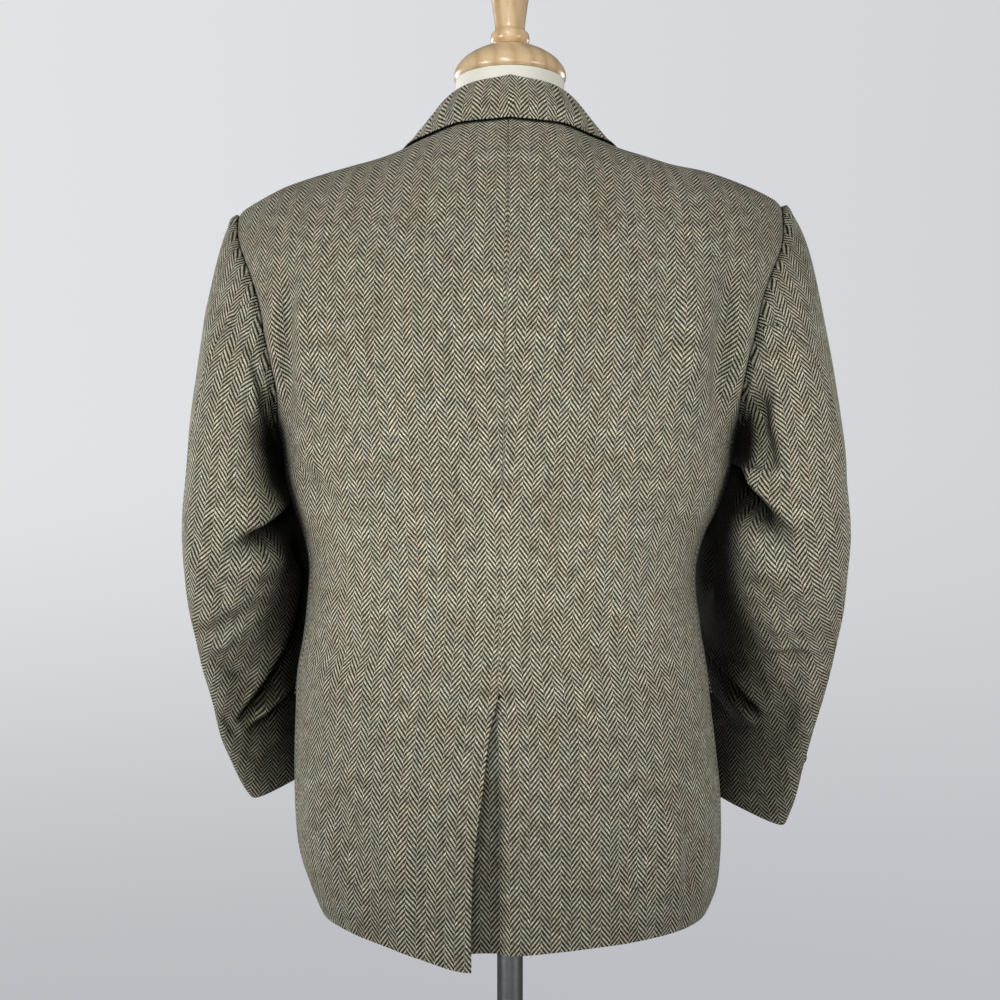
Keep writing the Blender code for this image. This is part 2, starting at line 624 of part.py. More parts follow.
def solid(name, points, faces, look):
    """One closed solid from points and faces, turned outwards."""
    mesh = bpy.data.meshes.new(name)
    mesh.from_pydata([tuple(float(v) for v in p) for p in points], [], faces)
    work = bmesh.new()
    work.from_mesh(mesh)
    bmesh.ops.triangulate(work, faces=work.faces[:])
    bmesh.ops.recalc_face_normals(work, faces=work.faces[:])
    work.to_mesh(mesh)
    work.free()
    mesh.materials.append(material(name, look))
    made = bpy.data.objects.new(name, mesh)
    bpy.context.scene.collection.objects.link(made)
    return made


def wall(name, outside, inside, look):
    """A closed wall between two grids of points with the same rows and columns."""
    rows, cols = outside.shape[:2]
    points = np.concatenate([outside.reshape(-1, 3), inside.reshape(-1, 3)])
    half = rows * cols

    def at(r, c, layer):
        return layer * half + r * cols + c

    faces = []
    for r in range(rows - 1):
        for c in range(cols - 1):
            faces.append((at(r, c, 0), at(r, c + 1, 0), at(r + 1, c + 1, 0), at(r + 1, c, 0)))
            faces.append((at(r, c, 1), at(r + 1, c, 1), at(r + 1, c + 1, 1), at(r, c + 1, 1)))
    rim = [(0, c) for c in range(cols)] + [(r, cols - 1) for r in range(1, rows)]
    rim += [(rows - 1, c) for c in range(cols - 2, -1, -1)] + [(r, 0) for r in range(rows - 2, 0, -1)]
    for (r0, c0), (r1, c1) in zip(rim, rim[1:] + rim[:1]):
        faces.append((at(r0, c0, 0), at(r0, c0, 1), at(r1, c1, 1), at(r1, c1, 0)))
    return solid(name, points, faces, look)


def shared_rows(side, up):
    """Rows that back, side and front share, with rows at the vent's top and the armhole's joints."""
    f = np.linspace(0, 1, 2001)
    low = hem_height(side, 0.0)
    middle = low + (height_over(side, 0.0, NECK_BACK) - low) * rows_up(f)
    vent = np.interp((VENT_TOP - VENT_ROW, VENT_TOP, VENT_TOP + VENT_ROW), middle, f)
    joint = np.interp(ARM_JOINT_HEIGHT, seam_height(side, f), f)
    rows = np.concatenate([HEM_ROWS, np.linspace(0, 1, up + 1)])
    for fixed in (vent.mean(), joint):
        rows = rows[(np.abs(rows - fixed) > ROW_ROOM / up) | (rows == 1)]
    return np.unique(np.concatenate([rows, vent, [joint]])), joint


def panel(name, patch, side, across, rows):
    """A body panel as a wall on its patch."""
    f, c = np.meshgrid(rows, np.linspace(0, 1, across + 1), indexing="ij")
    girth, height, inset = patch(side, c, f)
    outside = torso(side, girth, height, inset)
    return wall(name, outside, outside - WALL * torso_normal(side, girth, height), TWEED)


def lapel(side):
    """The turned-back lapel: a wall that lies on the front, rolled at its inner edge."""
    f, c = np.meshgrid(np.linspace(0, 1, LAPEL_ROWS + 1), LAPEL_ACROSS, indexing="ij")
    widths = column(LAPEL_WIDTHS, LAPEL_COLUMNS, "along", "width")
    begin = BREAK_HEIGHT if side > 0 else UNDER_BREAK_HEIGHT
    along = begin + (LAPEL_TOP - begin) * f
    share = (along - BREAK_HEIGHT) / (LAPEL_TOP - BREAK_HEIGHT)
    inner = EDGE_OUT(along) - LAPEL_ROLL
    outer = EDGE_OUT(along) + widths(share)
    if side < 0:
        inner = np.maximum(inner, LAPEL_TUCK - EDGE_OUT(along))
        outer = np.maximum(outer, inner + LAPEL_ROLL)
    out = inner + (outer - inner) * c
    gorge = np.interp(c, [row[0] for row in LAPEL_GORGE], [row[1] for row in LAPEL_GORGE])
    height = along + gorge * share ** 2
    girth = girth_at(side, out, height, True)
    base = torso(side, girth, height)
    n = torso_normal(side, girth, height)
    roll = np.exp(-((c - ROLL_PLACE) / ROLL_SPREAD) ** 2) * ramp(share, 0.0, ROLL_PLACE)
    tip = ramp(c, TIP_ACROSS, 1.0) * ramp(share, TIP_ALONG, 1.0)
    lift = LAY_GAP + ROLL_RISE * roll + TIP_RISE * tip
    inside = base + n * lift[..., None]
    outside = base + n * (lift + WALL)[..., None]
    return wall(f"lapel_{SIDE_NAMES[side]}", outside, inside, TWEED)


def over(side, out, y, lift):
    """A point lifted off the jacket's outside, over a point of the plan near the shoulders."""
    out, y = np.asarray(float(out)), np.asarray(float(y))
    step = 10 * STEP
    z = height_over(side, out, y)
    slope_x = (height_over(side, out + step, y) - z) / step
    slope_y = (height_over(side, out, y + step) - z) / step
    normal = np.array((-side * slope_x, -slope_y, 1.0))
    return np.array((side * float(out), float(y), float(z))) + normal / np.linalg.norm(normal) * lift


def collar_profiles(count):
    """Middle lines of the collar's section, from the left front end round the back to the right."""
    get = {name: column(COLLAR_STATIONS, COLLAR_COLUMNS, "station", name) for name in COLLAR_COLUMNS[1:]}
    last = COLLAR_STATIONS[-1][0]
    lines = []
    for station in np.linspace(last, -last, count):
        side = 1 if station >= 0 else -1
        at = {name: float(curve(abs(station))) for name, curve in get.items()}
        seam = over(side, at["seam_x"], at["seam_y"], 0.0) + (0, 0, STAND_LIFT)
        roll = over(side, at["roll_x"], at["roll_y"], 0.0) + (0, 0, at["stand"])
        edge = over(side, at["edge_x"], at["edge_y"], WALL / 2 + COLLAR_LIFT)
        away = (edge - seam) * (1, 1, 0)
        away = away / np.linalg.norm(away)
        seam = seam - away * (WALL / 2 + STAND_INSET)
        inner = roll - away * ROLL_HALF - (0, 0, ROLL_HALF)
        outer = roll + away * ROLL_HALF - (0, 0, ROLL_HALF)
        falls = []
        for share in FALL_SHARES:
            x, y, _ = outer * (1 - share) + edge * share
            floor = height_over(side, abs(outer[0]), outer[1])
            drop = max(outer[2] - float(floor), 0.0) * (1 - share) ** 2
            lift = WALL / 2 + COLLAR_LIFT + FALL_FULLNESS * drop
            falls.append(over(side, abs(x), y, lift))
        knots = np.array([seam, seam * 0.5 + inner * 0.5, inner, roll, outer, *falls, edge])
        t = np.linspace(0, 1, len(knots))
        fine = np.linspace(0, 1, COLLAR_ACROSS + 1)
        lines.append(np.stack([smooth(t, knots[:, k])(fine) for k in range(3)], -1))
    return np.array(lines)


def collar():
    """Stand and fall in one piece, folded at the roll."""
    middle = collar_profiles(COLLAR_AROUND)
    along = np.gradient(middle, axis=0)
    down = np.gradient(middle, axis=1)
    n = np.cross(along, down)
    n = n / np.linalg.norm(n, axis=-1, keepdims=True)
    return wall("collar", middle + n * WALL / 2, middle - n * WALL / 2, TWEED)


def pocket_flap(side):
    """A slanted hacking flap that hangs on the front and side body."""
    f, c = np.meshgrid(np.linspace(0, 1, FLAP_ROWS + 1), np.linspace(0, 1, FLAP_ACROSS + 1), indexing="ij")
    rounded = FLAP_CORNER * (2 * c - 1) ** 8 * f
    girth = FLAP_FRONT[0] + (FLAP_REAR[0] - FLAP_FRONT[0]) * c
    height = FLAP_FRONT[1] + (FLAP_REAR[1] - FLAP_FRONT[1]) * c - FLAP_DROP * f + rounded
    base = torso(side, girth, height)
    n = torso_normal(side, girth, height)
    kick = FLAP_REAR_KICK * c ** 4 * (FLAP_KICK_TOP + (1 - FLAP_KICK_TOP) * f)
    lift = FLAP_LIFT + FLAP_FALL * f + kick
    inside = base + n * lift[..., None]
    return wall(f"pocket_flap_{SIDE_NAMES[side]}", inside + n * WALL, inside, TWEED)


def sleeve_piece(name, sleeve, start, end, shares):
    """One piece of a sleeve between two seam lines, given as turns down the sleeve."""
    q, c = np.meshgrid(np.linspace(0, 1, SLEEVE_ROWS + 1), shares, indexing="ij")
    turn = (start(q) + (end(q) - start(q)) * c) % (2 * math.pi + 1e-9)
    outside = sleeve.point(turn, q)
    return wall(name, outside, outside - WALL * sleeve.normal(turn, q), TWEED)


def armhole_nodes(side, rows, across):
    """Turns of the armhole at which the body panels have their points."""
    heights = seam_height(side, rows[seam_height(side, rows) > ARM_JOINT_HEIGHT + 1e-6])
    back = armhole_turn(side, heights, False)
    front = armhole_turn(side, heights, True)
    girths = SIDE_SEAM + (DART_SEAM - SIDE_SEAM) * np.linspace(0, 1, across + 1)
    low = armhole_low(side, girths)
    return np.radians(np.unique(np.concatenate([back, low, front]).round(6)))


def sleeve_seams(side, nodes):
    """Turns of the hind and fore seams down the sleeve, the hind one opened at its vent."""
    hind_name = f"hind_{SIDE_NAMES[side]}"
    hind_table = column(SLEEVE_SEAMS, SLEEVE_SEAM_COLUMNS, "share", hind_name)
    fore_table = column(SLEEVE_SEAMS, SLEEVE_SEAM_COLUMNS, "share", "fore")

    def moved(table, q):
        start = float(table(0.0))
        nearest = math.degrees(nodes[np.abs(nodes - math.radians(start)).argmin()])
        return table(q) + (nearest - start) * (1 - ramp(q, 0.0, SEAM_SETTLE))

    trim = SEAM_GAP / 2 / SEAM_RADIUS

    def hind_at(q, towards):
        opened = math.radians(VENT_OPEN[side]) * ramp(q, VENT_SHARE, 1.0) / 2
        return np.radians(moved(hind_table, q)) + towards * (trim + opened)

    def fore_at(q, towards):
        return np.radians(moved(fore_table, q)) + towards * trim

    return hind_at, fore_at


def sleeve_pair(side, table, rows, across):
    """Under and top sleeve, whose points at the armhole meet those of the body, and cuff buttons."""
    sleeve = Sleeve(side, table)
    nodes = armhole_nodes(side, rows, across)
    hind, fore = sleeve_seams(side, nodes)
    name = SIDE_NAMES[side]
    full = 2 * math.pi
    low, high = float(hind(np.array(0.0), 0)), float(fore(np.array(0.0), 0))
    under = nodes[(nodes > low - 1e-6) & (nodes < high + 1e-6)]
    top = np.concatenate([nodes[nodes > high - 1e-6], nodes[(nodes > 1e-6) & (nodes < low + 1e-6)] + full])
    under_shares = (under - under[0]) / (under[-1] - under[0])
    top_shares = (top - top[0]) / (top[-1] - top[0])
    sleeve_piece(f"under_sleeve_{name}", sleeve, lambda q: hind(q, 1), lambda q: fore(q, -1), under_shares)
    sleeve_piece(f"top_sleeve_{name}", sleeve, lambda q: fore(q, 1), lambda q: hind(q, -1) + full, top_shares)
    for k, share in enumerate(CUFF_BUTTON_SHARES, 1):
        turn = np.array(hind(share, -1) - math.radians(CUFF_BUTTON_INSET))
        turn = turn % full
        q = np.array(share)
        radius, height = CUFF_BUTTON_SIZE
        seat = sleeve.point(turn, q)
        button(f"cuff_button_{name}_{k}", seat, sleeve.normal(turn, q), radius, height)


def turned(name, profile, middle, look, sides=24, axis=(0, 0, 1)):
    """A solid of revolution from a profile of radius and height, about an axis."""
    up = np.asarray(axis, float)
    up = up / np.linalg.norm(up)
    aside = np.cross(up, (0.3, 0.9, 0.1))
    aside = aside / np.linalg.norm(aside)
    other = np.cross(up, aside)
    points, rings = [], []
    for radius, height in profile:
        if radius == 0:
            rings.append([len(points)])
            points.append(np.asarray(middle) + up * height)
            continue
        ring = []
        for k in range(sides):
            angle = 2 * math.pi * k / sides
            ring.append(len(points))
            spoke = aside * math.cos(angle) + other * math.sin(angle)
            points.append(np.asarray(middle) + up * height + spoke * radius)
        rings.append(ring)
    faces = []
    for low, high in zip(rings, rings[1:]):
        for k in range(sides):
            j = (k + 1) % sides
            if len(low) == 1:
                faces.append((low[0], high[k], high[j]))
            elif len(high) == 1:
                faces.append((low[k], low[j], high[0]))
            else:
                faces.append((low[k], low[j], high[j], high[k]))
    return solid(name, points, faces, look)


def button(name, seat, normal, radius, height):
    """A plain button with a raised rim, just off the cloth."""
    profile = [(radius * a, height * b) for a, b in BUTTON_PROFILE]
    lifted = np.asarray(seat) + np.asarray(normal) * LAY_GAP
    return turned(name, profile, lifted, HORN, BUTTON_SIDES, normal)


def front_buttons():
    radius, height = FRONT_BUTTON_SIZE
    for k, z in enumerate(FRONT_BUTTON_HEIGHTS, 1):
        girth = np.array(math.pi)
        seat = torso(1, girth, np.array(z))
        button(f"front_button_{k}", seat, torso_normal(1, girth, np.array(z)), radius, height)


# ---- dress form and stand --------------------------------------------------------------------------------
def form_torso():
    """The smooth torso inside the jacket, up to the neck."""
    get = {name: column(FORM_SECTIONS, FORM_COLUMNS, "height", name) for name in FORM_COLUMNS[1:]}
    outs = np.linspace(0, RIDGE[-1][0], 200)
    ridge = np.minimum(RIDGE_HEIGHT[1](outs), RIDGE_HEIGHT[-1](outs)) - FORM_SINK
    low_rows = np.linspace(FORM_SECTIONS[0][0], FORM_LOW_TOP, FORM_LOW_ROWS)
    heights = np.concatenate([low_rows, FORM_TOP_ROWS, [NECK_TOP]])
    sides = FORM_SIDES
    angles = 2 * math.pi * np.arange(sides) / sides
    points = []
    for z in heights:
        reach = float(np.interp(-z, -ridge, outs))
        half = min(float(get["half_width"](z)), max(reach, NECK_RADIUS))
        x = half * np.sin(angles)
        above = np.interp(np.abs(x), outs, ridge)
        t = np.clip((z - FORM_TURN) / (above - FORM_TURN), 0, 1)
        depth = np.where(np.cos(angles) >= 0, get["back"](z), get["front"](z))
        y = depth * np.cos(angles) * (1 + FORM_FULLNESS * np.sin(angles) ** 2) * np.sqrt(1 - t * t)
        blend = ramp(z, *NECK_BLEND)
        x = x + (NECK_RADIUS * np.sin(angles) - x) * blend
        y = y + (NECK_MIDDLE + NECK_RADIUS * np.cos(angles) - y) * blend
        points += [(x[k], y[k], z) for k in range(sides)]
    faces = [tuple(range(sides - 1, -1, -1))]
    for r in range(len(heights) - 1):
        for k in range(sides):
            j = (k + 1) % sides
            faces.append((r * sides + k, r * sides + j, (r + 1) * sides + j, (r + 1) * sides + k))
    faces.append(tuple((len(heights) - 1) * sides + k for k in range(sides)))
    return solid("form_torso", points, faces, JERSEY)


def stand():
    turned("neck_cap", CAP_PROFILE, (0, NECK_MIDDLE, 0), BEECH, 24)
    turned("finial", FINIAL_PROFILE, (0, NECK_MIDDLE, 0), BEECH, 16)
    foot = BASE_PROFILE[-1][1] + SEAM_GAP
    top = FORM_SECTIONS[0][0] - SEAM_GAP
    pole = ((0, foot), (POLE_RADIUS, foot), (POLE_RADIUS, top), (0, top))
    turned("stand_pole", pole, (0, 0, 0), STEEL, 16)
    turned("stand_base", BASE_PROFILE, (0, 0, 0), STEEL, 36)


def main():
    for old in list(bpy.data.objects):
        bpy.data.objects.remove(old, do_unlink=True)
    for side, table in ((1, SLEEVE_LEFT), (-1, SLEEVE_RIGHT)):
        name = SIDE_NAMES[side]
        rows, joint = shared_rows(side, PANEL_ROWS)
        panel(f"back_{name}", back_panel, side, BACK_ACROSS, rows)
        panel(f"side_{name}", side_panel, side, SIDE_ACROSS, rows[rows <= joint])
        panel(f"front_{name}", front_panel, side, FRONT_ACROSS, rows)
        sleeve_pair(side, table, rows, SIDE_ACROSS)
        lapel(side)
        pocket_flap(side)
    collar()
    front_buttons()
    form_torso()
    stand()


main()
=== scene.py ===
"""Looks of the herringbone tweed hacking jacket on its dress form.

The cloth's surface is worked out by the same functions as the CAD, then creased, seamed and woven.
"""
import math

import bpy
import numpy as np
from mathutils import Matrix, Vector


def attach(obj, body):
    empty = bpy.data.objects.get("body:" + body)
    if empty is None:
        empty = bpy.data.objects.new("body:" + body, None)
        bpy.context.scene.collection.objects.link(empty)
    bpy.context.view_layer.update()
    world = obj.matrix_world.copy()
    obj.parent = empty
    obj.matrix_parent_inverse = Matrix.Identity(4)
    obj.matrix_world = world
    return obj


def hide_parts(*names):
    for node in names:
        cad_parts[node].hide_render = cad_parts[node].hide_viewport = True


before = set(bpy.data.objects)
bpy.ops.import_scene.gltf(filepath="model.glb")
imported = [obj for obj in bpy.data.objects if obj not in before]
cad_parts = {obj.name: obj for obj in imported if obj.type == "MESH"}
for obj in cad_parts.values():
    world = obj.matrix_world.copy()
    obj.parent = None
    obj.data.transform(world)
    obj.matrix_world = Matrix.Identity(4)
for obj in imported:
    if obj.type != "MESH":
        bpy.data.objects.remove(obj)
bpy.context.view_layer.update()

# ---- cloth ----
WALL = 0.0024
SEAM_GAP = 0.0003
LAY_GAP = 0.0005
WRAP_MARGIN = 0.0004
WRAP_RUN = (0.024, 0.055)
STEP = 1e-4
FINE_STEP = 1e-6
EDGE_STEP = 0.01
RING_NEAR = 0.002
FULL_TURN = 2 * math.pi
MM = 0.001

# ---- how closely the curves are searched ----
HEIGHT_GUESS, HEIGHT_ROUNDS = 1.52, 12
RIDGE_GUESS, RIDGE_ROUNDS = 1.55, 8
ARM_SAMPLES = 721
ARM_LOW_SAMPLES = 157
ROW_SAMPLES = 2001

# ---- body of the jacket ----
# Half widths to the wearer's left and right, and depths behind and before the stand's axis.
BODY_COLUMNS = ("height", "left", "right", "back", "front")
BODY_SECTIONS = (
    (0.790, 0.1840, 0.1880, 0.150, 0.148),
    (0.822, 0.1845, 0.1930, 0.150, 0.149),
    (0.842, 0.1930, 0.2015, 0.150, 0.150),
    (0.870, 0.2030, 0.2052, 0.150, 0.150),
    (0.945, 0.2100, 0.2040, 0.147, 0.150),
    (1.000, 0.2090, 0.1975, 0.141, 0.148),
    (1.060, 0.2073, 0.1905, 0.130, 0.147),
    (1.097, 0.2014, 0.1850, 0.122, 0.146),
    (1.124, 0.1985, 0.1820, 0.118, 0.146),
    (1.155, 0.1980, 0.1830, 0.118, 0.147),
    (1.180, 0.2030, 0.1900, 0.120, 0.148),
    (1.208, 0.2125, 0.2045, 0.124, 0.150),
    (1.240, 0.2195, 0.2150, 0.130, 0.152),
    (1.270, 0.2225, 0.2195, 0.136, 0.153),
    (1.305, 0.2350, 0.2320, 0.141, 0.152),
    (1.340, 0.2490, 0.2470, 0.145, 0.150),
    (1.367, 0.2580, 0.2570, 0.146, 0.149),
    (1.400, 0.2640, 0.2640, 0.147, 0.148),
    (1.443, 0.2730, 0.2740, 0.148, 0.147),
    (1.490, 0.2810, 0.2810, 0.148, 0.146),
    (1.620, 0.2950, 0.2950, 0.148, 0.146),
)
BACK_FULLNESS = 0.23
FRONT_FULLNESS = 0.05
BACK_TURN = 1.33
FRONT_TURN = 1.30

# The ridge of the shoulders, from the middle out to the sleeve.
RIDGE_COLUMNS = ("out", "left", "right")
RIDGE = (
    (0.000, 1.6000, 1.6000),
    (0.050, 1.5890, 1.5890),
    (0.083, 1.5680, 1.5680),
    (0.106, 1.5560, 1.5580),
    (0.129, 1.5475, 1.5510),
    (0.155, 1.5405, 1.5430),
    (0.190, 1.5305, 1.5360),
    (0.221, 1.5200, 1.5260),
    (0.245, 1.5080, 1.5165),
    (0.262, 1.4985, 1.5080),
    (0.275, 1.4900, 1.5005),
)
NECK_HALF = 0.083
NECK_COLUMNS = 4 / 12
NECK_BACK = 0.060
NECK_DRAW = 0.4
TIP_OUT = 0.2665

# ---- armholes, round from the shoulder tip over the back and up the front ----
ARMHOLE_COLUMNS = ("turn", "girth", "height")
ARMHOLE = (
    (20, 71.4, 1.468),
    (50, 65.5, 1.420),
    (90, 63.5, 1.364),
    (120, 66.5, 1.318),
    (142, 76.0, 1.290),
    (162, 87.0, 1.274),
    (180, 97.0, 1.270),
    (200, 108.0, 1.274),
    (220, 118.0, 1.290),
    (245, 122.5, 1.325),
    (270, 123.0, 1.368),
    (310, 117.0, 1.425),
    (340, 111.0, 1.468),
)
ARM_JOINT_TURNS = (142, 220)
ARM_JOINT_HEIGHT = 1.290
SIDE_DIP_START = 1.150
SIDE_SEAM = math.radians(76)
SEAM_TRIM = SEAM_GAP / 2 / 0.2
DART_SEAM = math.radians(118)

# ---- back seam and vent ----
SEAM_COLUMNS = ("height", "out")
CENTRE_SEAM = ((0.78, 0.0110), (1.038, 0.0107), (1.25, 0.0060), (1.45, 0.0020), (1.62, 0.0015))
VENT_TOP = 1.038
VENT_ROW = 0.006
VENT_EDGE = ((0.78, 0.0328), (0.86, 0.0328), (0.91, 0.0300), (0.96, 0.0235), (1.01, 0.0175),
             (1.038, 0.0107))
UNDERLAP_OUT = 0.046
UNDERLAP_COLUMN = 1 / 12
UNDERLAP_INSET = 0.0045
UNDERLAP_TURN = 0.0104
UNDERLAP_SINK = 0.0020
UNDERLAP_SINK_RUN = (0.85, 1.00)

# ---- hem and front edge ----
HEM = 0.822
HEM_DIP_LEFT = 0.020
HEM_DIP_RIGHT = 0.010
HEM_DIP_WIDTH = 0.085
HEM_DIP_RUN = (0.12, 0.17)
FRONT_HEM = 0.812
FRONT_HEM_RUN = (0.08, 0.16)
BREAK_HEIGHT = 1.262
FRONT_EDGE = (
    (0.800, 0.1000),
    (0.812, 0.0800),
    (0.8135, 0.0670),
    (0.818, 0.0520),
    (0.828, 0.0375),
    (0.845, 0.0240),
    (0.870, 0.0125),
    (0.910, 0.0020),
    (0.970, -0.0100),
    (1.040, -0.0170),
    (1.100, -0.0180),
    (1.262, -0.0180),
    (1.300, -0.0040),
    (1.400, 0.0340),
    (1.480, 0.0640),
    (1.520, 0.0775),
    (1.550, 0.0830),
    (1.620, 0.0830),
)

# ---- lapels, collar and flaps ----
LAPEL_COLUMNS = ("along", "width")
LAPEL_WIDTHS = ((0.0, 0.004), (0.08, 0.018), (0.25, 0.042), (0.5, 0.062), (0.75, 0.078), (1.0, 0.090))
LAPEL_TOP = 1.5215
LAPEL_GORGE = ((0.0, 0.0), (0.42, -0.0255), (1.0, -0.0380))
UNDER_BREAK_HEIGHT = 1.290
LAPEL_ROLL = 0.0035
LAPEL_TUCK = 0.0065
ROLL_RISE = 0.0045
ROLL_PLACE = 0.12
ROLL_SPREAD = 0.16
TIP_RISE = 0.0012
TIP_ACROSS = 0.4
TIP_ALONG = 0.5
# Seam, roll and outer edge of the collar in plan, and the roll's height over the jacket, from the
# centre back round to the front end.
COLLAR_COLUMNS = ("station", "seam_x", "seam_y", "roll_x", "roll_y", "stand", "edge_x", "edge_y")
COLLAR_STATIONS = (
    (0.0, 0.0000, 0.0600, 0.0000, 0.0500, 0.0320, 0.0000, 0.0680),
    (1.0, 0.0330, 0.0555, 0.0330, 0.0445, 0.0290, 0.0380, 0.0640),
    (2.0, 0.0610, 0.0420, 0.0600, 0.0300, 0.0225, 0.0720, 0.0480),
    (3.0, 0.0790, 0.0160, 0.0770, 0.0060, 0.0150, 0.0960, 0.0190),
    (4.0, 0.0800, -0.0200, 0.0810, -0.0220, 0.0120, 0.1120, -0.0160),
    (5.0, 0.0775, -0.0500, 0.0790, -0.0520, 0.0110, 0.1260, -0.0460),
    (5.5, 0.0760, -0.0620, 0.0775, -0.0650, 0.0105, 0.1360, -0.0640),
    (6.0, 0.0740, -0.0720, 0.0755, -0.0760, 0.0095, 0.1120, -0.0800),
)
COLLAR_LIFT = 0.0016
STAND_LIFT = 0.0014
STAND_INSET = 0.0016
ROLL_HALF = 0.0032
FALL_SHARES = (0.35, 0.70)
FALL_FULLNESS = 0.8
FLAP_LIFT = 0.0011
FLAP_DROP = 0.056
FLAP_FRONT = (math.radians(151), 1.112)
FLAP_REAR = (math.radians(99), 1.070)
FLAP_REAR_KICK = 0.006
FLAP_KICK_TOP = 0.4
FLAP_FALL = 0.0012
FLAP_CORNER = 0.006

# ---- sleeves ----
# Rings down the sleeve: height of the middle, outer and inner reach, middle and half depth
# from front to back, and how far the ring leans out and back.
SLEEVE_COLUMNS = ("along", "height", "outer", "inner", "middle_y", "half_depth", "lean")
SLEEVE_LEFT = (
    (0.000, 1.240, 0.3140, 0.2240, -0.002, 0.078, 0),
    (0.055, 1.187, 0.3163, 0.2140, -0.005, 0.079, 4),
    (0.080, 1.160, 0.3125, 0.2075, -0.012, 0.074, 12),
    (0.120, 1.127, 0.3080, 0.2045, -0.027, 0.066, 23),
    (0.165, 1.088, 0.3015, 0.2020, -0.046, 0.061, 33),
    (0.205, 1.055, 0.2950, 0.1990, -0.063, 0.058, 38),
    (0.262, 1.010, 0.2880, 0.1910, -0.087, 0.055, 42),
    (0.303, 0.980, 0.2800, 0.1830, -0.102, 0.052, 44),
    (0.332, 0.959, 0.2735, 0.1770, -0.112, 0.050, 45),
    (0.354, 0.943, 0.2665, 0.1680, -0.119, 0.048, 45),
)
SLEEVE_RIGHT = (
    (0.000, 1.240, 0.3265, 0.2180, -0.002, 0.077, 0),
    (0.050, 1.192, 0.3290, 0.2045, -0.005, 0.079, 4),
    (0.080, 1.163, 0.3250, 0.2000, -0.012, 0.074, 12),
    (0.120, 1.130, 0.3212, 0.1950, -0.027, 0.066, 23),
    (0.165, 1.094, 0.3175, 0.1960, -0.046, 0.061, 33),
    (0.215, 1.055, 0.3115, 0.1960, -0.065, 0.058, 38),
    (0.270, 1.012, 0.3035, 0.1940, -0.087, 0.055, 42),
    (0.315, 0.976, 0.2990, 0.1880, -0.103, 0.052, 44),
    (0.360, 0.942, 0.2930, 0.1800, -0.117, 0.050, 45),
    (0.400, 0.914, 0.2850, 0.1710, -0.129, 0.048, 45),
)
SLEEVE_FULLNESS = 0.10
CAP_SHARE = 0.42
HEAD_BLEND = 0.06
CAP_START_REACH = {1: 0.100, -1: 0.113}
CAP_START_SHARE = 0.8
CAP_END_SHARE = 0.9
CAP_DROP = {1: 0.60, -1: 0.35}
RING_STEP = 0.03
RING_TILT = 0.3
CAP_END_REACH = 0.150
SLEEVE_SEAM_COLUMNS = ("share", "hind_left", "hind_right", "fore")
SLEEVE_SEAMS = (
    (0.00, 72, 72, 252),
    (0.25, 50, 50, 246),
    (0.45, 35, 38, 240),
    (0.70, 17, 24, 228),
    (1.00, -4, 4, 212),
)
SEAM_SETTLE = 0.25
SEAM_RADIUS = 0.045
VENT_SHARE = 0.83
VENT_OPEN = {1: 0.5, -1: 11.0}

# ---- how finely the panels are cut up ----
PANEL_ROWS = 20
HEM_ROWS = (0.006, 0.018)
SIDE_ACROSS = 4
ROW_ROOM = 0.45

# ---- buttons ----
FRONT_BUTTON_HEIGHTS = (1.245, 1.145, 1.045)
FRONT_BUTTON_SIZE = (0.0105, 0.0042)
CUFF_BUTTON_SIZE = (0.0078, 0.0036)
CUFF_BUTTON_SHARES = (0.880, 0.915, 0.950)
CUFF_BUTTON_INSET = 16

# ---- dress form and stand ----
FORM_COLUMNS = ("height", "half_width", "back", "front")
FORM_SECTIONS = (
    (0.885, 0.168, 0.112, 0.105),
    (0.930, 0.172, 0.116, 0.108),
    (1.000, 0.168, 0.108, 0.108),
    (1.100, 0.152, 0.092, 0.106),
    (1.160, 0.150, 0.090, 0.108),
    (1.250, 0.166, 0.104, 0.118),
    (1.340, 0.184, 0.118, 0.124),
    (1.420, 0.196, 0.124, 0.122),
    (1.480, 0.200, 0.126, 0.118),
    (1.620, 0.200, 0.126, 0.116),
)
FORM_SINK = 0.0030
FORM_TURN = 1.34
FORM_FULLNESS = 0.2
NECK_RADIUS = 0.0540
NECK_MIDDLE = -0.0140
NECK_BLEND = (1.545, 1.600)
NECK_TOP = 1.6300
CAP_PROFILE = ((0.0000, 1.6304), (0.0540, 1.6304), (0.0556, 1.6330), (0.0552, 1.6390),
               (0.0500, 1.6475), (0.0400, 1.6555), (0.0280, 1.6615), (0.0170, 1.6650),
               (0.0120, 1.6662), (0.0000, 1.6662))
FINIAL_PROFILE = ((0.0000, 1.6665), (0.0160, 1.6665), (0.0190, 1.6700), (0.0194, 1.6740),
                  (0.0185, 1.6780), (0.0152, 1.6812), (0.0150, 1.6860), (0.0160, 1.6950),
                  (0.0185, 1.7120), (0.0225, 1.7280), (0.0262, 1.7430), (0.0262, 1.7560),
                  (0.0222, 1.7680), (0.0140, 1.7760), (0.0000, 1.7790))
POLE_RADIUS = 0.0127
BASE_PROFILE = ((0.0000, 0.0000), (0.1880, 0.0000), (0.1900, 0.0020), (0.1900, 0.0090),
                (0.1860, 0.0125), (0.0400, 0.0165), (0.0240, 0.0185), (0.0220, 0.0400),
                (0.0180, 0.0420), (0.0000, 0.0420))

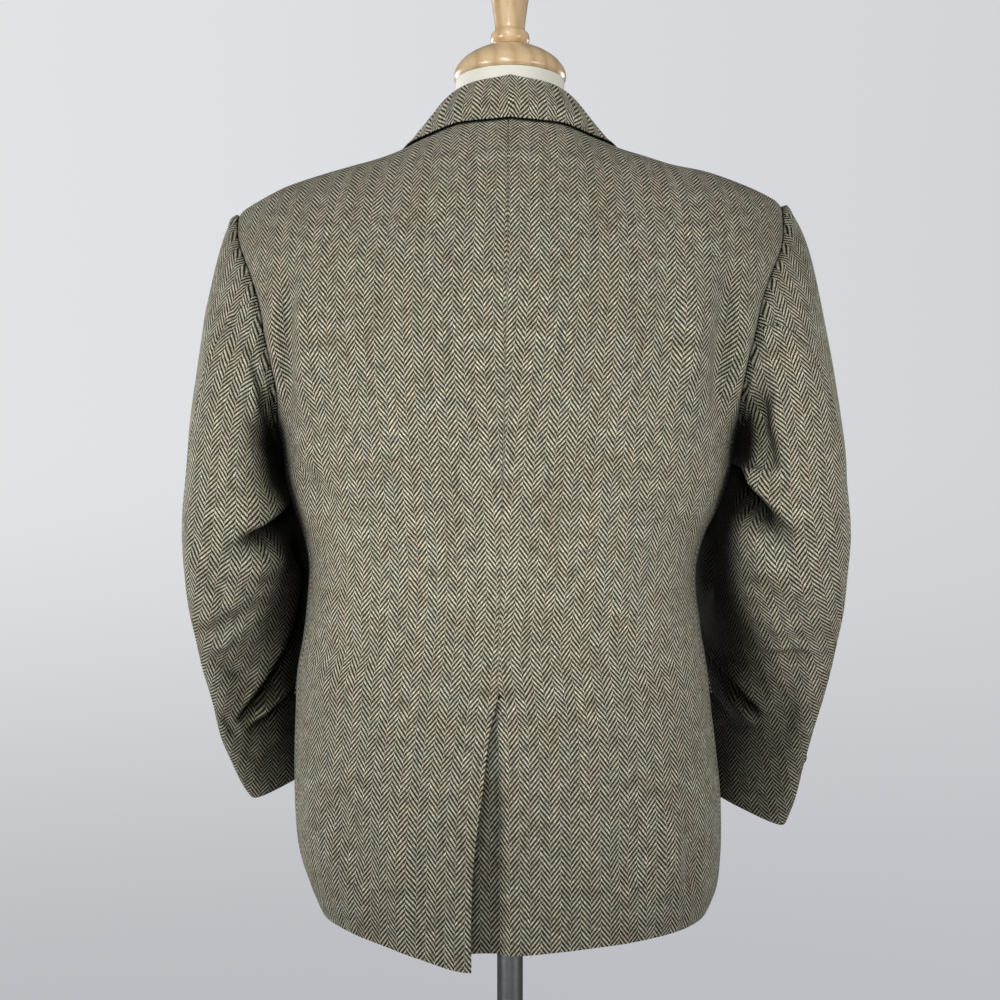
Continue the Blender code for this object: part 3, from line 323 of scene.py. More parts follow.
# ---- creases, in millimetres ----
# On the body: a line of (out, height) points, its half width, and its rise, below zero for a trough.
BACK_CREASES = (
    (((204, 1430), (204, 1396), (206, 1360), (207, 1324), (206, 1285)), 9, -9.3),
    (((219, 1400), (216, 1343), (213, 1300)), 7, 4.3),
    (((185, 1420), (187, 1340), (188, 1278)), 13, 5.1),
    (((-206, 1440), (-199, 1386), (-195, 1350), (-195, 1306), (-197, 1275)), 11, -11.9),
    (((-168, 1425), (-163, 1357), (-162, 1300)), 13, 5.9),
    (((-145, 1430), (-141, 1373), (-141, 1315)), 11, -3.4),
    (((-222, 1400), (-214, 1351), (-210, 1300)), 7, 3.4),
    (((204, 1246), (177, 1221), (158, 1200)), 11, -5.9),
    (((200, 1264), (169, 1243)), 11, 4.3),
    (((206, 1070), (156, 1078), (100, 1072)), 13, -4.8),
    (((188, 1040), (117, 1045)), 16, 3.4),
    (((192, 1108), (118, 1122)), 18, 3.1),
    (((80, 1512), (104, 1486), (130, 1470)), 14, -3.1),
    (((-78, 1514), (-110, 1490), (-150, 1478)), 14, -2),
    (((168, 950), (143, 900), (122, 870)), 17, -6.5),
    (((103, 920), (97, 860), (94, 815)), 14, 5.4),
    (((60, 960), (70, 900), (68, 830)), 14, -2.6),
    (((-92, 912), (-105, 890), (-118, 870)), 12, -4.4),
    (((-141, 945), (-146, 895), (-148, 850)), 13, 5.4),
    (((-164, 900), (-168, 855)), 11, -4.8),
    (((-170, 1218), (-138, 1159), (-118, 1105)), 18, -3.1),
    (((-178, 1080), (-130, 1066), (-86, 1070)), 15, -2.7),
    (((-50, 1400), (-56, 1300), (-50, 1200)), 22, 1.7),
    (((70, 1420), (80, 1300), (66, 1190)), 24, 2.4),
)
FRONT_CREASES = (
    (((196, 1450), (200, 1390), (206, 1330)), 12, -6.7),
    (((172, 1440), (176, 1370), (186, 1300)), 14, 4.2),
    (((-192, 1452), (-197, 1385), (-204, 1325)), 12, -6),
    (((-168, 1430), (-170, 1360), (-182, 1295)), 15, 4.2),
    (((20, 1246), (75, 1228), (130, 1232)), 9, -3),
    (((22, 1262), (80, 1256), (140, 1270)), 11, 2.4),
    (((-30, 1244), (-80, 1224), (-135, 1228)), 10, -3),
    (((25, 1146), (90, 1152), (150, 1172)), 11, -2.7),
    (((-35, 1146), (-95, 1150), (-155, 1168)), 11, -2.4),
    (((60, 1030), (82, 950), (110, 850)), 16, -3.9),
    (((110, 1010), (128, 930), (150, 850)), 16, 3.9),
    (((-66, 1030), (-90, 950), (-116, 850)), 16, -3.6),
    (((-116, 1000), (-134, 930), (-152, 850)), 16, 3.6),
    (((180, 1250), (160, 1220), (140, 1196)), 12, -3.6),
    (((-182, 1252), (-160, 1222), (-144, 1200)), 12, -3.6),
)
# On a sleeve a line runs over (turn in degrees, share of the way down).
SLEEVE_CREASES = {
    1: (
        (((166, 0.462), (128, 0.468), (98, 0.478)), 11, 5),
        (((172, 0.52), (166, 0.59), (156, 0.65)), 12, -15),
        (((150, 0.545), (126, 0.54), (96, 0.545)), 9, 5),
        (((50, 0.494), (76, 0.518), (90, 0.54)), 5, -4.2),
        (((46, 0.52), (66, 0.54)), 6, 3.4),
        (((58, 0.53), (70, 0.552), (80, 0.59)), 6, -5),
        (((36, 0.606), (76, 0.583), (112, 0.572)), 8, 3),
        (((40, 0.632), (78, 0.613), (112, 0.6)), 8, -2.6),
        (((44, 0.652), (80, 0.646)), 7, 4),
        (((40, 0.66), (60, 0.694), (80, 0.736)), 7, -4.5),
        (((126, 0.78), (98, 0.8), (70, 0.822)), 6, 4),
        (((36, 0.775), (48, 0.85)), 7, -4),
        (((110, 0.88), (80, 0.888), (52, 0.895)), 12, 2.8),
        (((50, 0.07), (76, 0.114), (92, 0.165)), 9, -4),
        (((20, 0.13), (60, 0.24)), 14, 2.2),
        (((84, 0.06), (110, 0.11), (120, 0.18)), 9, 3.4),
        (((60, 0.33), (80, 0.4), (92, 0.44)), 13, -3),
        (((250, 0.5), (290, 0.512), (320, 0.53)), 11, 4),
        (((240, 0.475), (285, 0.482), (325, 0.5)), 8, -6),
        (((235, 0.545), (280, 0.552), (320, 0.57)), 9, -5),
        (((300, 0.7), (330, 0.73)), 10, -3.5),
        (((262, 0.08), (268, 0.18), (280, 0.3)), 10, -4.5),
    ),
    -1: (
        (((176, 0.52), (168, 0.59), (158, 0.65)), 12, -14),
        (((116, 0.06), (128, 0.225), (121, 0.415), (104, 0.45)), 8.5, -8.5),
        (((98, 0.08), (112, 0.235), (106, 0.395), (88, 0.456)), 9, 6),
        (((106, 0.689), (86, 0.668), (66, 0.657), (42, 0.657)), 9, -2.6),
        (((104, 0.664), (76, 0.645), (48, 0.636)), 7, 2.8),
        (((100, 0.617), (58, 0.59)), 12, 3.4),
        (((122, 0.524), (92, 0.54), (56, 0.548)), 9, 5),
        (((122, 0.785), (104, 0.803), (88, 0.824)), 6, 4),
        (((36, 0.02), (60, 0.04), (90, 0.06)), 8, -2.6),
        (((78, 0.558), (64, 0.746), (56, 0.85)), 12, -3.2),
        (((250, 0.49), (290, 0.5), (322, 0.515)), 11, 4),
        (((238, 0.465), (286, 0.474), (328, 0.492)), 8, -6.2),
        (((236, 0.53), (282, 0.54), (322, 0.56)), 9, -5),
        (((296, 0.69), (330, 0.715)), 10, -3.4),
        (((262, 0.08), (270, 0.19), (282, 0.31)), 10, -4.5),
    ),
}
# Folds that hang over a hollow, from the body outwards: line, how far the fold's edge stands out and
# the hollow below it sinks, the half width of each, and the share of the line over which it fades.
SLEEVE_FOLDS = {
    1: (
        (((178, 0.468), (158, 0.484), (130, 0.5), (104, 0.508), (84, 0.513)), 8.5, 23.5, 14, 14, 0.5),
        (((152, 0.59), (138, 0.64), (120, 0.7), (98, 0.742), (72, 0.782), (44, 0.822)), 8, 24, 16, 12, 0.4),
        (((118, 0.792), (84, 0.822), (52, 0.84)), 3, 9, 10, 10, 0.6),
    ),
    -1: (
        (((183, 0.322), (156, 0.402), (136, 0.446), (104, 0.48), (72, 0.502)), 9.5, 36, 16, 21, 0.35),
        (((160, 0.728), (134, 0.74), (116, 0.752), (102, 0.771), (82, 0.8)), 6, 17, 14, 12, 0.4),
        (((140, 0.8), (119, 0.817), (100, 0.835)), 2.5, 7, 10, 12, 0.6),
    ),
}
FOLD_EDGE = 5.5
SLEEVE_REACH = 0.054
CREASE_TAPER = 0.30
CREASE_END = 0.15
SIDE_BLEND = (-0.03, 0.03)
CALM_SHOULDER = (1.470, 1.530)
CALM_HEAD = 0.08
# The cloth's unevenness: share, and the two waves that make it, over (x, y, z, 1) on the body and over
# (turn, metres down, 1, side) on the sleeves.
UNEVEN = 0.0007
BODY_WAVES = (
    (1.0, (31, 0, 9, 1.3), (-11, 0, 14, 0.4)),
    (0.7, (53, 0, -17, 2.1), (0, 23, 27, 0)),
    (0.4, (97, 0, 41, 0), (-37, 0, 61, 1.9)),
)
SLEEVE_WAVES = (
    (1.0, (2, 15, 0, 0), (0, 23, 1.1, 1)),
    (0.6, (3, -31, 0, 1), (0, 47, 0, 0)),
)

# ---- grain of the cloth, and how it is laid flat ----
# Where a point of the herringbone lies beside the centre seam, towards the wearer's left.
GRAIN_COLUMNS = ("height", "left", "right")
GRAIN = (
    (0.780, 0.0214, 0.0088),
    (0.864, 0.0203, 0.0090),
    (0.940, 0.0190, 0.0096),
    (1.009, 0.0123, 0.0105),
    (1.084, 0.0056, 0.0172),
    (1.115, 0.0035, 0.0139),
    (1.249, 0.0088, 0.0049),
    (1.319, 0.0128, -0.0013),
    (1.398, 0.0149, -0.0076),
    (1.491, 0.0123, -0.0088),
    (1.620, 0.0112, -0.0080),
)
SIDE_GRAIN = math.radians(97)
MEASURE_GIRTHS = 241
MEASURE_HEIGHTS = (0.79, 1.62, 167)
MEASURE_ZERO = 1.2
# Turn of each sleeve piece's straight grain, in degrees, and how far a column lies off it.
SLEEVE_GRAIN = {"top": (360.0, 0.0), "under": (130.0, 0.0040)}
GRAIN_RUN = (0.10, 0.42)
SEAM_SHARES = (0.0, 0.004, 0.008, 0.013, 0.018)
OPEN_SHARES = (0.024, 1, 45)
FLAT_COLUMNS = 21
FLAT_ROUNDS = 4000
FLAT_EASE = 20
FLAT_EASED = 0.55
FLAT_STEP = 0.11

# ---- how finely the looks are cut up ----
LOOK_ROWS = 150
LOOK_ACROSS = {"back": 84, "side": 26, "front": 70}
EDGE_LINES = (0.003, 0.008, 0.016)
LAPEL_EDGE_LINES = (0.006, 0.016, 0.032)
LOOK_LAPEL = (90, 31)
LOOK_COLLAR = (181, 40)
LOOK_FLAP = (24, 64)
LOOK_SLEEVE_ROWS = 240
LOOK_SLEEVE_ACROSS = {"under": 84, "top": 100}
SLEEVE_EDGE_ROWS = (0.0015, 0.0035, 0.010, 0.996, 0.998)
LOOK_FORM_ROWS = (40, 60)
LOOK_FORM_SPLIT = (1.460, 1.465)
LOOK_FORM_SIDES = 112
CAP_ROWS, CAP_SIDES = 60, 120
FINIAL_ROWS, FINIAL_SIDES = 90, 96
BASE_SIDES, POLE_SIDES, FLOOR_SIDES = 160, 64, 96
RIDGE_OUTS = (0, 0.275, 200)
FORM_CLEARANCE = 0.0004

# ---- seams and edges: depth and half width, in metres ----
SEAM_GROOVE = (0.0009, 0.0016)
NECK_SEAM_FADE = 0.1
ARMHOLE_SINK = (0.0016, 0.0060)
ARMHOLE_RUN = (ARM_JOINT_HEIGHT - 0.02, ARM_JOINT_HEIGHT + 0.02)
EDGE_ROUND = (0.0008, 0.0013)
SHARP_CLOTH = 55
SHARP_SOLID = 35
# The vent's flap kicks out and the cloth beside it sinks: how far, the middle beside the edge, the width.
VENT_KICK = (0.0085, 0.0, 0.030)
VENT_HOLLOW = (-0.0070, -0.010, 0.026)
VENT_LAP = 0.002
VENT_LOW = 0.90
VENT_BEHIND = (0.02, 0.06)
# The sleeve head's rope: its rise, its place below the seam and its half width.
ROPE = (0.0018, 0.0065, 0.0042)
HEAD_CARRY = 0.12
CUFF_VENT = (0.845, 0.870)
CUFF_VENT_DEEPER = 2.4

# ---- buttons and thread ----
# A horn button's rim in shares of its radius and height, then its sunk face and the four holes in it.
HORN_RIM = ((0.80, 0), (0.93, 0.16), (1, 0.5), (0.985, 0.80), (0.93, 0.97), (0.86, 1), (0.78, 0.95),
            (0.70, 0.80))
HORN_FACE = 0.62
HORN_FACE_RINGS = 17
HORN_SUNK = 0.72
HOLE_PLACE = 0.24
HOLE_REACH = 0.165
HOLE_STEEPNESS = 3
HOLE_DEPTH = 0.45
HORN_SIDES = 40
STRAND_RADIUS = 0.07
STRAND_ROOT = 0.42
STRAND_RISES = (0.0004, 0.0006)
STRAND_STEPS = 12
# A buttonhole's stitched edge: its middle, its half length and half width, its lift, the thread's radius.
BUTTONHOLE = (-0.0035, 0.0125, 0.0011, 0.0004, 0.0007)
BUTTONHOLE_KNOTS, BUTTONHOLE_STEPS = 33, 96
CORD_SIDES = 8
LATHE_HINT = (0.3, 0.9, 0.1)
CORD_HINT = (0.31, 0.22, 0.92)

# ---- colours, linear ----
CREAM = (0.565, 0.556, 0.462)
CREAM_WARM = (0.595, 0.540, 0.415)
BARK = (0.027, 0.021, 0.008)
BARK_WARM = (0.058, 0.038, 0.016)
DRIFT_GREEN = (1.020, 1.052, 1.045)
DRIFT_BROWN = (0.925, 0.880, 0.835)
TWEED_SHEEN = (0.86, 0.84, 0.78)
HORN_DARK = (0.022, 0.013, 0.008)
HORN_LIGHT = (0.150, 0.085, 0.040)
IVORY = (0.900, 0.880, 0.780)
IVORY_DULL = (0.80, 0.77, 0.66)
BEECH_LIGHT = (0.800, 0.590, 0.340)
BEECH_DARK = (0.560, 0.330, 0.140)
STEEL_GREY = (0.55, 0.56, 0.57)
THREAD = (0.050, 0.036, 0.022)
THREAD_DARK = (0.040, 0.0288, 0.0176)
FLOOR_GREY = (0.50, 0.51, 0.54)
WALL_LOW = ((0.515, 0.521, 0.554), (0.489, 0.497, 0.525))
WALL_HIGH = ((0.620, 0.635, 0.665), (0.790, 0.795, 0.815))
AIR_LOW = (0.03, 0.03, 0.03)
AIR_HIGH = (0.13, 0.13, 0.135)

# ---- weave: metres between yarns down the cloth (ends) and across it (picks) ----
END = 0.00099
PICK = 0.00125
COLUMN_ENDS = 9
# How round a yarn is across, how far it dips along its way, and how high a pick stands beside an end.
YARN_ROUND = 0.75
YARN_DIP = 0.55
PICK_HEIGHT = 0.85
# Yarns wander: scale, and how many yarns they stray. A share of each is warmer than the others.
WANDER_ENDS = (70.0, 0.9)
WANDER_PICKS = (60.0, 1.1)
WARM_ENDS, WARM_PICKS = 0.55, 0.6
# Drift between greener and browner cloth: scale, detail and roughness, where it starts, how steep it is.
DRIFT = (34.0, 3.0, 0.6)
DRIFT_START, DRIFT_SLOPE = 0.35, 3.0
# Darkest and lightest tones of streaks along an end, of the yarns' height (painted shade in each yarn's low
# parts) and of single fibres.
STREAK_TONES = (0.62, 1.24)
YARN_SHADE_TONES = (0.55, 1.17)
FIBRE_TONES = (0.80, 1.20)
END_TONE = 0.14
SLUB_LEAST, SLUB_TONE = 0.79, 0.6
FIBRE = (3800.0, 2.0, 0.7)
FUZZ = (2600.0, 3.0, 0.65)
FUZZ_HEIGHT = 0.55
WEAVE_BUMP = (0.55, 0.0005)
# Mottling of the cloth: stretch across and up, seed, scale, detail, roughness, darkest and lightest tone.
MOTTLES = (
    (1.0, 1.0, 0.0, 9.0, 3.0, 0.50, 0.90, 1.10),
    (1.3, 1.0, 5.0, 85.0, 3.0, 0.65, 0.25, 1.75),
    (1.0, 0.6, 9.0, 620.0, 2.0, 0.60, -0.10, 2.10),
)
LEAST_TONE = 0.12
# Shade painted into the cloth's colour in the folds and under the arms: how far it looks, openness that
# counts as shut and as open, and the least light left.
HOLLOW_REACH = 0.16
HOLLOW_RAYS = 6
HOLLOW_RUN = (0.33, 0.79)
HOLLOW_LEAST = 0.05
JERSEY_COURSE = 0.0011
JERSEY_WALES = 420.0

# ---- room ----
FLOOR_GLOW = 0.92
FLOOR_RADIUS = 1.9
FLOOR_TOP, FLOOR_UNDERSIDE = -0.0005, -0.004
LEAN_RUN = (-0.7, 0.7)
WALL_RUN = (-0.36, 0.06)
AIR_RUN = (-0.30, 0.80)
CAMERA_PLACE = (0.0, 1.32, 1.2)
CAMERA_LENS = 48.24
CAMERA_SHIFT = (-0.010, 0.015)
CAMERA_SENSOR = 36
CAMERA_CLIP = 0.05
LAMP_COLUMNS = ("name", "place", "aim", "width", "cone", "power")
LAMPS = (
    ("key", (2.0, 1.6, 1.35), (0.08, 0.06, 1.235), 0.9, 32, 208),
    ("fill", (-2.0, 1.6, 1.30), (-0.08, 0.06, 1.235), 0.9, 32, 152),
    ("middle", (0.2, 2.6, 1.35), (0.0, 0.10, 1.235), 0.9, 27, 107),
    ("top", (0.3, 1.6, 2.4), (0.0, 0.06, 1.74), 0.4, 13, 84),
    ("front", (2.2, -2.0, 1.7), (0.0, 0.0, 1.2), 1.2, 60, 250),
    ("front_fill", (-2.2, -2.0, 1.5), (0.0, 0.0, 1.1), 1.2, 60, 110),
)


# ---- curves through tables ----
def hermite(t):
    """Weights of a cubic's start, start slope, end and end slope at a share of the way."""
    return (1 + 2 * t) * (1 - t) ** 2, t * (1 - t) ** 2, t * t * (3 - 2 * t), t * t * (t - 1)


def smooth(xs, ys):
    """A cubic through the points, with slopes from their neighbours, held at the ends."""
    xs, ys = np.asarray(xs, float), np.asarray(ys, float)
    runs = np.diff(xs)
    rises = np.diff(ys) / runs
    inner = (rises[:-1] * runs[1:] + rises[1:] * runs[:-1]) / (runs[:-1] + runs[1:])
    slopes = np.concatenate([rises[:1], inner, rises[-1:]])

    def at(x):
        x = np.clip(x, xs[0], xs[-1])
        k = np.clip(np.searchsorted(xs, x, side="right") - 1, 0, len(runs) - 1)
        start, leave, end, arrive = hermite((x - xs[k]) / runs[k])
        ends = start * ys[k] + end * ys[k + 1]
        return ends + (leave * slopes[k] + arrive * slopes[k + 1]) * runs[k]

    return at


def smooth_line(knots, fine):
    """A smooth line through knots, at places given as shares of the way."""
    knots = np.asarray(knots, float)
    shares = np.linspace(0, 1, len(knots))
    return np.stack([smooth(shares, values)(fine) for values in knots.T], -1)


def column(table, names, x_name, y_name):
    """The smooth curve of one named column of a table over another."""
    i, j = names.index(x_name), names.index(y_name)
    return smooth([row[i] for row in table], [row[j] for row in table])


def columns(table, names):
    """The smooth curves of all the other columns of a table over its first."""
    return {name: column(table, names, names[0], name) for name in names[1:]}


def ramp(x, low, high):
    """0 below low, 1 above high, and a soft step between."""
    t = np.clip((x - low) / (high - low), 0, 1)
    return t * t * (3 - 2 * t)


def unit(vectors):
    return vectors / np.maximum(np.linalg.norm(vectors, axis=-1, keepdims=True), 1e-12)


SIDE_NAMES = {1: "left", -1: "right"}
BODY = columns(BODY_SECTIONS, BODY_COLUMNS)
HALF_WIDTH = {side: BODY[name] for side, name in SIDE_NAMES.items()}
BACK_DEPTH, FRONT_DEPTH = BODY["back"], BODY["front"]
RIDGE_HEIGHT = {s: column(RIDGE, RIDGE_COLUMNS, "out", name) for s, name in SIDE_NAMES.items()}
SEAM_OUT = column(CENTRE_SEAM, SEAM_COLUMNS, "height", "out")
VENT_OUT = column(VENT_EDGE, SEAM_COLUMNS, "height", "out")
EDGE_OUT = column(FRONT_EDGE, SEAM_COLUMNS, "height", "out")


# ---- the jacket's surface ----
def shaped(behind, height):
    """Where the jacket begins to turn in to the shoulders, how full and how deep it is."""
    turn = np.where(behind, BACK_TURN, FRONT_TURN)
    full = np.where(behind, BACK_FULLNESS, FRONT_FULLNESS)
    return turn, full, np.where(behind, BACK_DEPTH(height), FRONT_DEPTH(height))


def torso(side, girth, height, inset=0.0):
    """A point of the jacket's outside: girth 0 is the centre back, pi the centre front."""
    out = HALF_WIDTH[side](height) * np.sin(girth)
    ridge = RIDGE_HEIGHT[side](np.abs(out))
    behind = np.cos(girth) >= 0
    turn, full, depth = shaped(behind, height)
    turned = np.sqrt(1 - np.clip((height - turn) / (ridge - turn), 0, 1) ** 2)
    y = (depth - inset) * np.cos(girth) * (1 + full * np.sin(girth) ** 2) * turned
    y = y + np.where(behind, 0.5, -0.5) * SEAM_GAP * (1 - turned)
    return np.stack(np.broadcast_arrays(side * out, y, np.minimum(height, ridge)), -1)


def height_over(side, out, y):
    """The height of the jacket's outside over a point of the plan, near the shoulders."""
    ridge = RIDGE_HEIGHT[side](np.abs(out))
    height = np.full(np.broadcast(out, y).shape, HEIGHT_GUESS)
    for _ in range(HEIGHT_ROUNDS):
        sine = np.clip(out / HALF_WIDTH[side](height), -1, 1)
        turn, full, depth = shaped(y >= 0, height)
        reach = depth * np.sqrt(1 - sine ** 2) * (1 + full * sine ** 2)
        height = turn + (ridge - turn) * np.sqrt(np.clip(1 - (y / reach) ** 2, 0, 1))
    return height


def girth_at(side, out, height, front=False):
    """The girth angle of a point that lies so far out at this height."""
    angle = np.arcsin(np.clip(out / HALF_WIDTH[side](height), -1, 1))
    return math.pi - angle if front else angle


def rows_up(f):
    """Share of the way up a panel: even below, and closing up towards the top."""
    return (4 * f - f ** 4) / 3


def tip_height(side):
    return float(RIDGE_HEIGHT[side](TIP_OUT))


def armhole_curves(side):
    """Girth and height of the armhole over the turn, closed at the shoulder tip."""
    tip = tip_height(side)
    girth = math.degrees(girth_at(side, TIP_OUT, tip))
    return columns([(0, girth, tip), *ARMHOLE, (360, 180 - girth, tip)], ARMHOLE_COLUMNS)


ARM_EDGE = {side: armhole_curves(side) for side in SIDE_NAMES}


def armhole_turn(side, height, front):
    """The turn at which the armhole's edge has this height, behind or before the arm."""
    turns = np.linspace(180, 360 if front else 0, ARM_SAMPLES)
    return np.interp(height, ARM_EDGE[side]["height"](turns), turns)


def armhole_girth(side, height, front):
    """Girth of the armhole's edge at a height, behind or before the arm."""
    return np.radians(ARM_EDGE[side]["girth"](armhole_turn(side, height, front)))


def armhole_low(side, girth):
    """Turn of the armhole's lower edge over a girth between the two seams."""
    turns = np.linspace(*ARM_JOINT_TURNS, ARM_LOW_SAMPLES)
    return np.interp(np.degrees(girth), ARM_EDGE[side]["girth"](turns), turns)


def seam_height(side, f):
    """Height on the side seam, dart seam and armhole of a row of the panels."""
    return HEM + (tip_height(side) - HEM) * rows_up(f)


def ridge_over(side, girth):
    """Height of the shoulder ridge where a girth meets it."""
    height = np.full(np.shape(girth), RIDGE_GUESS)
    for _ in range(RIDGE_ROUNDS):
        height = RIDGE_HEIGHT[side](HALF_WIDTH[side](height) * np.sin(girth))
    return height


def hem_height(side, out, front=False):
    """The hem: level at the sides, dipping behind the vent and a little at the fronts."""
    if front:
        return HEM + (FRONT_HEM - HEM) * (1 - ramp(np.abs(out), *FRONT_HEM_RUN))
    dip = HEM_DIP_LEFT if side > 0 else HEM_DIP_RIGHT
    return HEM - dip * np.exp(-(out / HEM_DIP_WIDTH) ** 2) * (1 - ramp(out, *HEM_DIP_RUN))


def back_panel(side, c, f):
    """Back panel's girth, height and inset: c runs out from the centre seam, f from hem to top."""
    low = hem_height(side, 0.0)
    h = rows_up(f)
    inner_z = low + (height_over(side, 0.0, NECK_BACK) - low) * h
    seam = side * SEAM_OUT(inner_z) + SEAM_GAP / 2
    in_vent = inner_z < VENT_TOP - (0 if side > 0 else VENT_ROW / 2)
    inner = np.where(in_vent, VENT_OUT(inner_z) if side > 0 else -UNDERLAP_OUT, seam)
    outer_z = seam_height(side, f)
    outer = np.where(outer_z <= ARM_JOINT_HEIGHT, SIDE_SEAM - SEAM_TRIM, armhole_girth(side, outer_z, False))
    tip_girth = girth_at(side, TIP_OUT, tip_height(side))
    corner_share = girth_at(side, NECK_HALF, float(RIDGE_HEIGHT[side](NECK_HALF))) / tip_girth
    round_neck = np.sin(np.clip(c / NECK_COLUMNS, 0, 1) * math.pi / 2)
    over_shoulder = np.clip((c - NECK_COLUMNS) / (1 - NECK_COLUMNS), 0, 1)
    top_share = corner_share * round_neck + (1 - corner_share) * over_shoulder
    share = c + (top_share - c) * ramp(f, NECK_DRAW, 1.0)
    inner_girth = girth_at(side, inner, inner_z)
    girth = inner_girth + (outer - inner_girth) * share
    if side < 0:
        fold_girth = girth_at(side, seam, inner_z)
        beyond = (share - UNDERLAP_COLUMN) / (1 - UNDERLAP_COLUMN)
        under = inner_girth + (fold_girth - inner_girth) * c / UNDERLAP_COLUMN
        lapped = np.where(c < UNDERLAP_COLUMN, under, fold_girth + (outer - fold_girth) * beyond)
        girth = np.where(in_vent, lapped, girth)
    ridge = ridge_over(side, top_share * tip_girth)
    top_out = HALF_WIDTH[side](ridge) * np.sin(top_share * tip_girth)
    neck_y = NECK_BACK * np.sqrt(np.clip(1 - (top_out / NECK_HALF) ** 2, 0, 1))
    top = np.where(c < NECK_COLUMNS - 1e-9, height_over(side, top_out, neck_y), ridge)
    bottom = hem_height(side, HALF_WIDTH[side](HEM) * np.sin(c * SIDE_SEAM))
    height = bottom + (top - bottom) * h
    if side > 0:
        return girth, height, 0.0
    out = HALF_WIDTH[side](height) * np.sin(girth)
    under = ramp(-out, 0.0, UNDERLAP_TURN) * (1 - ramp(height, VENT_TOP, VENT_TOP + VENT_ROW))
    return girth, height, under * (UNDERLAP_INSET + UNDERLAP_SINK * (1 - ramp(height, *UNDERLAP_SINK_RUN)))


def side_panel(side, c, f):
    """Side body: c runs from the side seam to the dart seam, f up the shared rows."""
    girth = SIDE_SEAM + SEAM_TRIM + (DART_SEAM - SIDE_SEAM - 2 * SEAM_TRIM) * c
    row = seam_height(side, f)
    dip = ARM_JOINT_HEIGHT - ARM_EDGE[side]["height"](armhole_low(side, girth))
    return girth, row - dip * ramp(row, SIDE_DIP_START, ARM_JOINT_HEIGHT), 0.0


def front_panel(side, c, f):
    """Front: c runs from the dart seam and armhole to the front edge and roll line."""
    h = rows_up(f)
    outer_z = seam_height(side, f)
    outer = np.where(outer_z <= ARM_JOINT_HEIGHT, DART_SEAM + SEAM_TRIM, armhole_girth(side, outer_z, True))
    tip_girth = girth_at(side, TIP_OUT, tip_height(side), True)
    neck_z = float(RIDGE_HEIGHT[side](NECK_HALF))
    inner_z = FRONT_HEM + (neck_z - FRONT_HEM) * h
    inner = girth_at(side, EDGE_OUT(inner_z), inner_z, True)
    girth = outer + (inner - outer) * c
    top = ridge_over(side, tip_girth + (girth_at(side, NECK_HALF, neck_z, True) - tip_girth) * c)
    low_girth = DART_SEAM + (girth_at(side, EDGE_OUT(FRONT_HEM), FRONT_HEM, True) - DART_SEAM) * c
    bottom = hem_height(side, HALF_WIDTH[side](HEM) * np.sin(low_girth), True)
    height = bottom + (top - bottom) * h
    if side > 0:
        return girth, height, 0.0
    out = HALF_WIDTH[side](height) * np.sin(girth)
    return girth, height, (WALL + LAY_GAP + WRAP_MARGIN) * (1 - ramp(out, *WRAP_RUN))


def torso_normal(side, girth, height):
    """Outward unit normal of the jacket's outside, upright along the shoulder's ridge."""
    height = np.minimum(height, ridge_over(side, girth) - 3 * FINE_STEP)
    across = torso(side, girth + STEP, height) - torso(side, girth - STEP, height)
    up = torso(side, girth, height + FINE_STEP) - torso(side, girth, height - FINE_STEP)
    return unit(-side * np.cross(across, up))


